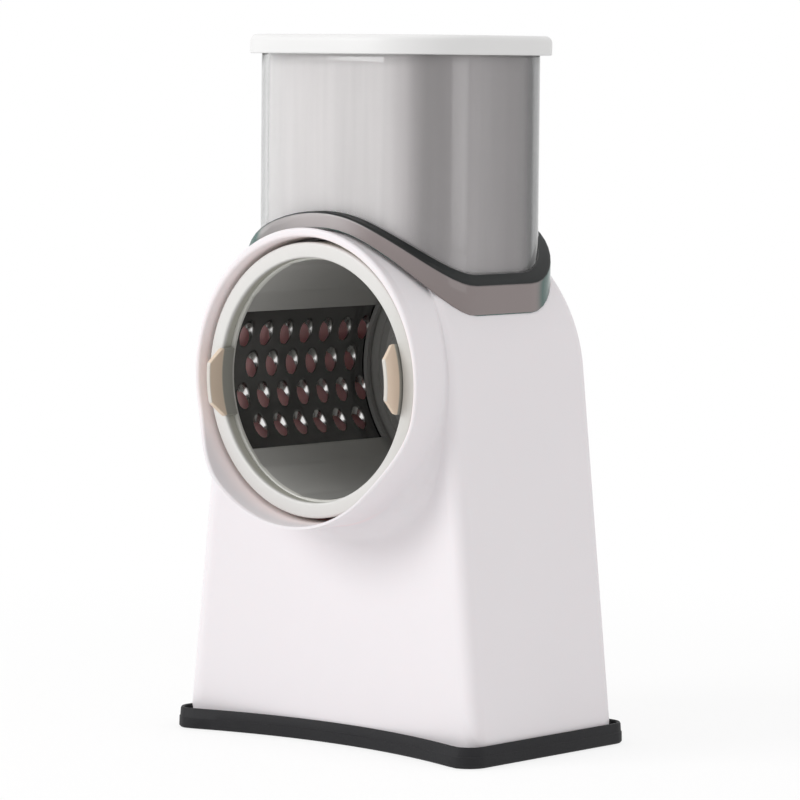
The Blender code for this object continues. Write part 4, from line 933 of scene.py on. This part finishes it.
rows_tree = bpy.data.node_groups.new("grater_sheet_rows", "GeometryNodeTree")
rows_tree.interface.new_socket("Tooth Cell", in_out="INPUT", socket_type="NodeSocketGeometry")
sheet_inputs = {}
for label, value in (
    ("Tooth Pitch", TOOTH_PITCH),
    ("Row Pitch", 2 * CELL_HALF_HEIGHT),
    ("Sheet Radius", SHEET_R),
    ("Sheet Turn", 0.0),
    ("Sheet Middle", SHEET_MIDDLE),
    ("Axis Height", AXIS_Z),
):
    socket = rows_tree.interface.new_socket(label, in_out="INPUT", socket_type="NodeSocketFloat")
    socket.default_value = value
    sheet_inputs[label] = socket.identifier
socket = rows_tree.interface.new_socket("Sheet Metal", in_out="INPUT", socket_type="NodeSocketMaterial")
sheet_inputs["Sheet Metal"] = socket.identifier
rows_tree.interface.new_socket("Sheet", in_out="OUTPUT", socket_type="NodeSocketGeometry")
gn = rows_tree.nodes
given = add(gn, "NodeGroupInput")
joined = add(gn, "GeometryNodeJoinGeometry")


def repeated(shape, count, height, start_steps):
    """Instances of the shape along one row, the first this many pitches from the middle."""
    first = both((given, "Tooth Pitch"), start_steps)
    start = add(gn, "ShaderNodeCombineXYZ", {"X": first, "Y": both((given, "Row Pitch"), height)})
    step = add(gn, "ShaderNodeCombineXYZ", {"X": (given, "Tooth Pitch")})
    ends = {"Count": count, "Start Location": (start, 0), "Offset": (step, 0)}
    line = add(gn, "GeometryNodeMeshLine", ends, mode="OFFSET")
    row = add(gn, "GeometryNodeInstanceOnPoints", {"Points": (line, 0), "Instance": shape})
    feed(joined, {0: (row, 0)})


def plain_patch(steps_wide, steps_high, height):
    sizes = {"Size X": steps_wide * LATTICE, "Size Y": height}
    counts = {"Vertices X": steps_wide + 1, "Vertices Y": steps_high + 1}
    return (add(gn, "GeometryNodeMeshGrid", {**sizes, **counts}), 0)


gap_patch = plain_patch(6, CELL_SIDE, 2 * CELL_HALF_HEIGHT)
end_patch = plain_patch(9, CELL_SIDE, 2 * CELL_HALF_HEIGHT)
front_patch = plain_patch(FRONT_STEPS, CELL_SIDE, 2 * CELL_HALF_HEIGHT)
border_patch = plain_patch(120 + FRONT_STEPS, 5, BORDER_HEIGHT)
for row in range(4):
    teeth = 7 - row % 2
    repeated((given, "Tooth Cell"), teeth, row - 1.5, -(teeth - 1) / 2)
    repeated(gap_patch, teeth - 1, row - 1.5, -(teeth - 2) / 2)
    repeated(front_patch, 1, row - 1.5, -(60 + FRONT_STEPS / 2) / 18)
    if row % 2:
        for side in (-1, 1):
            repeated(end_patch, 1, row - 1.5, side * (60 - 4.5) / 18)
for side in (-1, 1):
    repeated(border_patch, 1, side * (2 + BORDER_HEIGHT / (4 * CELL_HALF_HEIGHT)), -FRONT_STEPS / 36)
flat = add(gn, "ShaderNodeSeparateXYZ", {0: (add(gn, "GeometryNodeInputPosition"), 0)})
bend_angle = figure("ADD", figure("DIVIDE", (flat, "Y"), (given, "Sheet Radius")), (given, "Sheet Turn"))
bend_radius = figure("ADD", (flat, "Z"), (given, "Sheet Radius"))
across = both(bend_radius, figure("COSINE", bend_angle))
upward = figure("ADD", both(bend_radius, figure("SINE", bend_angle)), (given, "Axis Height"))
along = figure("ADD", (flat, "X"), (given, "Sheet Middle"))
bent = add(gn, "ShaderNodeCombineXYZ", {"X": across, "Y": along, "Z": upward})
real = add(gn, "GeometryNodeRealizeInstances", {0: (joined, 0)})
welded = add(gn, "GeometryNodeMergeByDistance", {0: (real, 0), "Distance": 0.00001})
placed = add(gn, "GeometryNodeSetPosition", {0: (welded, 0), "Position": (bent, 0)})
metal = add(gn, "GeometryNodeSetMaterial", {0: (placed, 0), "Material": (given, "Sheet Metal")})
add(gn, "NodeGroupOutput", {0: (metal, 0)})

for number, turn in enumerate(SHEET_TURNS, start=1):
    flat_sheet = in_scene(bpy.data.objects.new(f"grater_sheet_{number}_teeth", cell_mesh))
    bending = flat_sheet.modifiers.new("rows", "NODES")
    bending.node_group = rows_tree
    bending[sheet_inputs["Sheet Turn"]] = math.radians(turn)
    bending[sheet_inputs["Sheet Metal"]] = sheet_steel
    wall = flat_sheet.modifiers.new("gauge", "SOLIDIFY")
    wall.thickness = SHEET_GAUGE
    wall.offset = 1.0
    graph = bpy.context.evaluated_depsgraph_get()
    sheet_mesh = bpy.data.meshes.new_from_object(flat_sheet.evaluated_get(graph))
    flat_sheet.modifiers.clear()
    flat_sheet.data = sheet_mesh
    soften(sheet_mesh, 48)
    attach(flat_sheet, "drum")
    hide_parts(f"grater_sheet_{number}")

# ---- Drum end plate: grey plastic, moulded with rings round a hub. The hub's blind hexagon drives the drum.

PLATE_FRONT = 0.0373
PLATE_BACK = 0.0395
PLATE_R = 0.0484
HUB_FRONT = 0.0328
HUB_R = 0.0110
HEX_REACH = 0.0055
RIB_RISE = 0.0006
plate_grey = moulded_plastic("end_plate_grey_plastic", (0.36, 0.36, 0.345), 0.4, mottle=0.06, grain=0.03)
tinted(plate_grey, ((0.48, 0.48, 0.465), ("R", 0.0402, 0.0396)))
plate_profile = [
    *[(0.0, HUB_FRONT), (0.0099, HUB_FRONT), (0.0106, HUB_FRONT + 0.0003), (HUB_R, HUB_FRONT + 0.0010)],
    *[(HUB_R, PLATE_FRONT - 0.0006), (0.0116, PLATE_FRONT + 0.0002), (0.0130, PLATE_FRONT + RIB_RISE)],
    *[(0.0235, PLATE_FRONT + RIB_RISE), (0.0238, PLATE_FRONT), (0.0262, PLATE_FRONT)],
    *[(0.0265, PLATE_FRONT + RIB_RISE), (0.0370, PLATE_FRONT + RIB_RISE), (0.0373, PLATE_FRONT)],
    *[(0.0395, PLATE_FRONT), (0.0398, PLATE_FRONT + 0.0010), (0.0430, PLATE_FRONT + 0.0010)],
    *[(0.0433, PLATE_FRONT + 0.0002), (0.0481, PLATE_FRONT + 0.0002), (PLATE_R, PLATE_FRONT + 0.0005)],
    *[(PLATE_R, PLATE_BACK - 0.0004), (0.0480, PLATE_BACK), (0.0, PLATE_BACK)],
]
plate = turned("drum_rear_plate", plate_profile, None, plate_grey, steps=144)
hexagon = arc_path((0, AXIS_Z), HEX_REACH, 0, 300, 6)
carve(plate, stacked("tool", [upright(hexagon, y) for y in (HUB_FRONT + 0.0022, PLATE_BACK + 0.005)]))
soften(plate.data, 40)
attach(plate, "drum")
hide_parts("drum_end_plate")

# ---- Pull tabs: two beige plastic grips, curved to the ring's bore and clipped in it at three and nine o'clock.
# Their front ends are nipped in and stand out of the mouth.

TAB_OUT = 0.0467
TAB_IN = 0.0449
TAB_NIP = 0.0060
TAB_FRONT = -0.0597
TAB_BACK = -0.0465
TAB_HALF_HEIGHT = 0.0134
TAB_END_HALF_HEIGHT = 0.0078
TAB_ROUND = 0.0004
tab_beige = moulded_plastic("tab_beige_plastic", (0.74, 0.61, 0.48), 0.42, mottle=0.05, grain=0.05)
# The tab's front end is painted a pale grey, a painted highlight, and its foot inside the ring a dark grey, painted
# shade.
tinted(tab_beige, ((0.60, 0.575, 0.53), ("Y", -0.0592, -0.0596)), ((0.30, 0.30, 0.27), ("Y", -0.0530, -0.0521)))
round_share = TAB_ROUND / TAB_HALF_HEIGHT
stations = [np.linspace(-1, -1 + round_share, 5), np.linspace(-0.94, 0.94, 45), np.linspace(1 - round_share, 1, 5)]
for name, turn in (("pull_tab_left", 180 + DRUM_TURN), ("pull_tab_right", DRUM_TURN)):
    rows = []
    for height in np.concatenate(stations) * TAB_HALF_HEIGHT:
        near_end = max(0.0, abs(height) - (TAB_HALF_HEIGHT - TAB_ROUND)) / TAB_ROUND
        inset = TAB_ROUND * (1 - math.sqrt(max(0.0, 1 - near_end**2)))
        nip = max(0.0, abs(height) - TAB_END_HALF_HEIGHT) / (TAB_HALF_HEIGHT - TAB_END_HALF_HEIGHT)
        front = TAB_FRONT + nip * TAB_NIP
        long, thick = (TAB_BACK - front) / 2 - inset, (TAB_OUT - TAB_IN) / 2 - inset
        loop = rounded_plan(long, thick, TAB_ROUND, straight=3, turn=4)
        profile = loop[:, ::-1] + ((TAB_OUT + TAB_IN) / 2, (TAB_BACK + front) / 2)
        rows.append(round_axis(turn + math.degrees(math.asin(height / TAB_OUT)), profile))
    tab = stacked(name + "_grip", rows, "drum", tab_beige, slot="cream_plastic")
    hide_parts(name)

# ---- Shaft bearing: a grey flanged bush pressed into the chamber's back wall, a rubber seal over it, and the
# steel shaft with its hexagon for the drum, its collar and the square that the arm sits on.

BUSH_BORE = 0.0063
BUSH_R = 0.0090
BUSH_FLANGE_R = 0.0120
BUSH_FRONT = 0.0418
BUSH_SEAT = 0.0458
BUSH_BACK = 0.0473
bush_grey = moulded_plastic("bush_grey_plastic", (0.30, 0.30, 0.29), 0.4, grain=0.03)
bush_profile = [
    *[(BUSH_BORE + 0.0004, BUSH_BACK), (BUSH_FLANGE_R - 0.0006, BUSH_BACK), (BUSH_FLANGE_R - 0.0001, 0.0470)],
    *[(BUSH_FLANGE_R, 0.0466), (BUSH_FLANGE_R, 0.0460), (BUSH_FLANGE_R - 0.0002, BUSH_SEAT), (BUSH_R, BUSH_SEAT)],
    *[(BUSH_R, 0.0422), (BUSH_R - 0.0004, BUSH_FRONT), (BUSH_BORE + 0.0003, BUSH_FRONT)],
    *[(BUSH_BORE, 0.0421), (BUSH_BORE, 0.0469)],
]
bush = turned("rear_shaft_bush", bush_profile, "housing", bush_grey, steps=72, slot="grey_plastic")
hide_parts("rear_bush")


def machined_steel(name, colour, roughness):
    """Turned or drawn steel: a faint cloud in its gloss and fine tool marks in its bump."""
    colours = (colour, tuple(c * 0.88 for c in colour))
    gloss = (0.0, 1.0, roughness * 0.8, roughness * 1.3, "LINEAR")
    return surface(name, colours, gloss, (160.0, 2.0), (2400.0, 2.0), (0.15, 0.0002), metal=1.0)


def paint_node(node, material):
    """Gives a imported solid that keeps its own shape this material."""
    for piece in bpy.data.objects:
        if piece.name == node:
            for place in piece.material_slots:
                place.material = material
            if not piece.material_slots:
                piece.data.materials.append(material)


satin_steel = machined_steel("satin_steel", (0.58, 0.58, 0.57), 0.28)
screw_steel = machined_steel("zinc_plated_steel", (0.62, 0.62, 0.60), 0.34)
seal_rubber = moulded_plastic("seal_black_rubber", (0.022, 0.022, 0.024), 0.55, grain=0.15, scale=1500.0)
paint_node("drive_shaft", satin_steel)
paint_node("shaft_seal", seal_rubber)
paint_node("arm_screw", screw_steel)
paint_node("knob_spindle", satin_steel)

# ---- Crank arm: moulded in the housing's plastic with rounded edges and a shallow panel. It sits on the shaft's
# square, and one screw under the hub cap holds it.

ARM_LOW = 0.0495
ARM_HIGH = 0.0575
ARM_HUB_R = 0.0130
ARM_END_R = 0.0095
ARM_EDGE = 0.0018
ARM_BACK_EDGE = 0.0010
CRANK_THROW = 0.0780
KNOB_Z = AXIS_Z - CRANK_THROW
RECESS_LOW = 0.0541
RECESS_R = 0.0070
SQUARE_HALF = 0.0043
SPINDLE_HOLE_R = 0.00315
RIVET_HEAD_R = 0.0053
RIVET_HEAD_TOP = 0.0518
TOOL_SPARE = 0.004


def arm_layer(inset, y):
    """The arm's outline, its edge moved in: a circle round the hub and one round the spindle, joined by tangents."""
    lean = math.degrees(math.asin((ARM_HUB_R - ARM_END_R) / CRANK_THROW))
    hub = arc_path((0, AXIS_Z), ARM_HUB_R - inset, -lean, 180 + lean, 37)
    end = arc_path((0, KNOB_Z), ARM_END_R - inset, 180 + lean, 360 - lean, 29)
    left = np.linspace(hub[-1], end[0], 16)[1:-1]
    right = np.linspace(end[-1], hub[0], 16)[1:-1]
    return upright(np.concatenate([hub, left, end, right]), y)


def round_tool(radius, low, high, centre, axis="Y", steps=64):
    """A plain round cutting tool."""
    profile = [(0, low), (radius, low), (radius, high), (0, high)]
    return turned("tool", profile, steps=steps, centre=centre, axis=axis)


arm_white = moulded_plastic("crank_white_plastic", (0.86, 0.815, 0.835), 0.32, coat=0.2)
layers = [arm_layer(inset, ARM_LOW + rise) for rise, inset in quarter(ARM_BACK_EDGE, np.linspace(0, 90, 6))]
layers += [arm_layer(inset, ARM_HIGH - drop) for drop, inset in quarter(ARM_EDGE, np.linspace(90, 0, 8))]
for inset, sunk in ((0.0034, 0.0), (0.0037, 0.0001), (0.0040, 0.0006), (0.0044, 0.0007)):
    layers.append(arm_layer(inset, ARM_HIGH - sunk))
arm = stacked("crank_arm_moulding", layers, None, arm_white)
knob_axis = (0, 0, KNOB_Z)
square_low = (-SQUARE_HALF, ARM_LOW - TOOL_SPARE, AXIS_Z - SQUARE_HALF)
carve(arm, round_tool(RECESS_R, RECESS_LOW, ARM_HIGH + TOOL_SPARE, (0, 0, AXIS_Z)))
carve(arm, block(square_low, (SQUARE_HALF, RECESS_LOW + 0.001, AXIS_Z + SQUARE_HALF)))
carve(arm, round_tool(SPINDLE_HOLE_R, ARM_LOW - TOOL_SPARE, ARM_HIGH + TOOL_SPARE, knob_axis))
carve(arm, round_tool(RIVET_HEAD_R, ARM_LOW - TOOL_SPARE, RIVET_HEAD_TOP, knob_axis))
soften(arm.data, 34)
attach(arm, "crank")
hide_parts("crank_arm")

cap_white = moulded_plastic("cap_white_plastic", (0.80, 0.80, 0.79), 0.3, coat=0.2)
hub_cap_profile = [
    *[(0.0, 0.0583), (0.0030, 0.05828), (0.0050, 0.05815), (0.0062, 0.0579), (0.0066, 0.0576)],
    *[(0.0067, 0.0573), (0.0067, 0.0570), (0.0065, 0.0568), (0.0, 0.0568)],
]
hub_cap = turned(
    "crank_hub_cap", hub_cap_profile, "crank", cap_white, steps=72, slot="white_plastic"
)
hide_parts("hub_cap")

# ---- Crank knob: a hollow moulded handle that turns freely on a steel spindle riveted in the arm. A small white
# cap closes its end.

knob_neck = [(0.0085, 0.0606), (0.0089, 0.0640), (0.0097, 0.0700), (0.0106, 0.0760), (0.0111, 0.0810)]
knob_belly = [(0.0113, 0.0850), (0.0113, 0.0900), (0.0111, 0.0945)]
knob_bore = [(0.0065, 0.0978), (0.0034, 0.0978), (0.0033, 0.0975), (0.0033, 0.0581), (0.0036, 0.0578)]
knob_profile = np.concatenate(
    [
        arc_path((0.0076, 0.0586), 0.0008, 270, 360, 5),
        along_path(knob_neck, np.linspace(0, 1, 9)),
        along_path(knob_belly, np.linspace(0, 1, 5)),
        arc_path((0.0085, 0.0968), 0.0026, 10, 62, 6),
        arc_path((0.0072, 0.0991), 0.0007, 75, 180, 6),
        knob_bore,
    ]
)
knob_white = moulded_plastic("knob_white_plastic", (0.85, 0.805, 0.825), 0.36, coat=0.1)
knob = turned(
    "crank_knob_grip", knob_profile, "knob", knob_white, steps=96, centre=knob_axis, slot="housing_plastic"
)
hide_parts("crank_knob")
knob_cap_profile = [
    *[(0.0, 0.0998), (0.0045, 0.09975), (0.0058, 0.0995), (0.0062, 0.0992)],
    *[(0.0062, 0.0984), (0.0060, 0.0981), (0.0, 0.0981)],
]
knob_cap = turned(
    "knob_end_cap", knob_cap_profile, "knob", cap_white, 64, knob_axis, slot="white_plastic"
)
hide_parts("knob_cap")

# ---- Suction set under the base: a thin black rubber pad moulded round the foot of a steel stem, and a white
# lever whose two cams bear on a steel washer and draw the stem up when it is lifted.

PAD_Y = 0.0080
PIN_Z = 0.0180
PIN_R = 0.00175
CAM_R = 0.0109
CAM_Y = 0.0021
CAM_INNER = 0.0052
CAM_OUTER = 0.0082
LEVER_HALF_THICK = 0.0025
LEVER_EDGE = 0.0012
LEVER_TIP_Y = 0.0700
LEVER_TIP_HALF_WIDTH = 0.0140
LEVER_TIP_CORNER = 0.0050
pad_rubber = moulded_plastic(
    "pad_black_rubber", (0.024, 0.025, 0.027), 0.42, tint=(0.032, 0.033, 0.035), grain=0.12, scale=1500.0
)
pad_profile = [
    *[(0.0, 0.0003), (0.0090, 0.0003), (0.0100, 0.0), (0.0195, 0.0), (0.0200, 0.0002), (0.0205, 0.0)],
    *[(0.0265, 0.0), (0.0270, 0.0002), (0.0275, 0.0), (0.0337, 0.0), (0.0340, 0.0003), (0.0340, 0.0008)],
    *[(0.0336, 0.0010), (0.0230, 0.0011), (0.0126, 0.00125), (0.0120, 0.0013), (0.0, 0.0013)],
]
pad = turned("suction_pad_rubber", pad_profile, "stem", pad_rubber, 120, (0, PAD_Y, 0), axis="Z")
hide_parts("suction_pad")
paint_node("pull_stem", satin_steel)
paint_node("lever_pin", satin_steel)
paint_node("cam_washer", screw_steel)


def lever_layer(inset, z):
    """The lever seen from above: a plain arm that widens to a paddle with round corners."""
    along = np.concatenate([[0.0240 + inset], np.linspace(0.027, 0.0515, 6), np.linspace(0.0525, 0.0570, 9)])
    swell = np.clip((along - 0.0520) / 0.0045, 0, 1)
    wide = CAM_OUTER + (LEVER_TIP_HALF_WIDTH - CAM_OUTER) * swell**2 * (3 - 2 * swell) - inset
    corner_at = (LEVER_TIP_HALF_WIDTH - LEVER_TIP_CORNER, LEVER_TIP_Y - LEVER_TIP_CORNER)
    corner = arc_path(corner_at, LEVER_TIP_CORNER - inset, 0, 90, 9)
    right = np.concatenate([np.column_stack([wide, along]), corner])
    return at_height(np.concatenate([right, right[::-1] * (-1, 1)]), z)


lever_white = moulded_plastic("lever_white_plastic", (0.80, 0.80, 0.79), 0.34, coat=0.1)
lever_low, lever_high = PIN_Z - LEVER_HALF_THICK, PIN_Z + LEVER_HALF_THICK
layers = [lever_layer(inset, lever_low + rise) for rise, inset in quarter(LEVER_EDGE, np.linspace(0, 90, 5))]
layers += [lever_layer(inset, lever_high - drop) for drop, inset in quarter(LEVER_EDGE, np.linspace(90, 0, 5))]
lever = stacked("suction_lever_moulding", layers, None, lever_white)
for side in (-1, 1):
    cam_inner, cam_outer, cam_edge = side * CAM_INNER, side * CAM_OUTER, side * (CAM_OUTER - 0.0005)
    cam_rim = [(CAM_R, cam_inner), (CAM_R, cam_edge), (CAM_R - 0.0005, cam_outer)]
    cam = turned("tool", [(0.0, cam_inner), *cam_rim, (0.0, cam_outer)], steps=96, centre=(0, CAM_Y, PIN_Z), axis="X")
    carve(lever, cam, "UNION")
    low, high = sorted((cam_inner, cam_outer))
    carve(lever, block((low, CAM_Y, lever_low), (high, 0.0260, lever_high)), "UNION")
carve(lever, round_tool(PIN_R, -0.012, 0.012, (0, PAD_Y, PIN_Z), axis="X", steps=32))
for y in (0.0590, 0.0615, 0.0640, 0.0665):
    carve(lever, block((-0.0095, y - 0.0004, lever_high - 0.0004), (0.0095, y + 0.0004, PIN_Z + 0.006)))
soften(lever.data, 34)
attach(lever, "lever")
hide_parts("suction_lever")

# ---- Base screws: four plated steel screws driven up from below through the rubber tray into the housing's
# bosses. Each has a pan head with a cross recess.

thread = [(0.0015 - 0.0002 * (step % 2), 0.0037 + 0.0004 * step) for step in range(31)]
screw_profile = [
    *[(0.0, 0.0006), (0.0018, 0.00065), (0.0026, 0.0009), (0.0030, 0.0013), (0.0031, 0.0017), (0.0031, 0.0031)],
    *[(0.0029, 0.0033), (0.0014, 0.0033), *thread, (0.0007, 0.0166), (0.0, 0.0170)],
]
for number in (1, 2, 3, 4):
    low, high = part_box(f"base_screw_{number}")
    x, y = (low[0] + high[0]) / 2, (low[1] + high[1]) / 2
    name = f"base_screw_{number}_pan_head"
    head = turned(name, screw_profile, None, screw_steel, 32, (x, y, 0), axis="Z")
    for wide, deep in ((0.0019, 0.00042), (0.00042, 0.0019)):
        carve(head, block((x - wide, y - deep, 0.0), (x + wide, y + deep, 0.0021)))
    soften(head.data, 34)
    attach(head, "housing")
    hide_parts(f"base_screw_{number}")
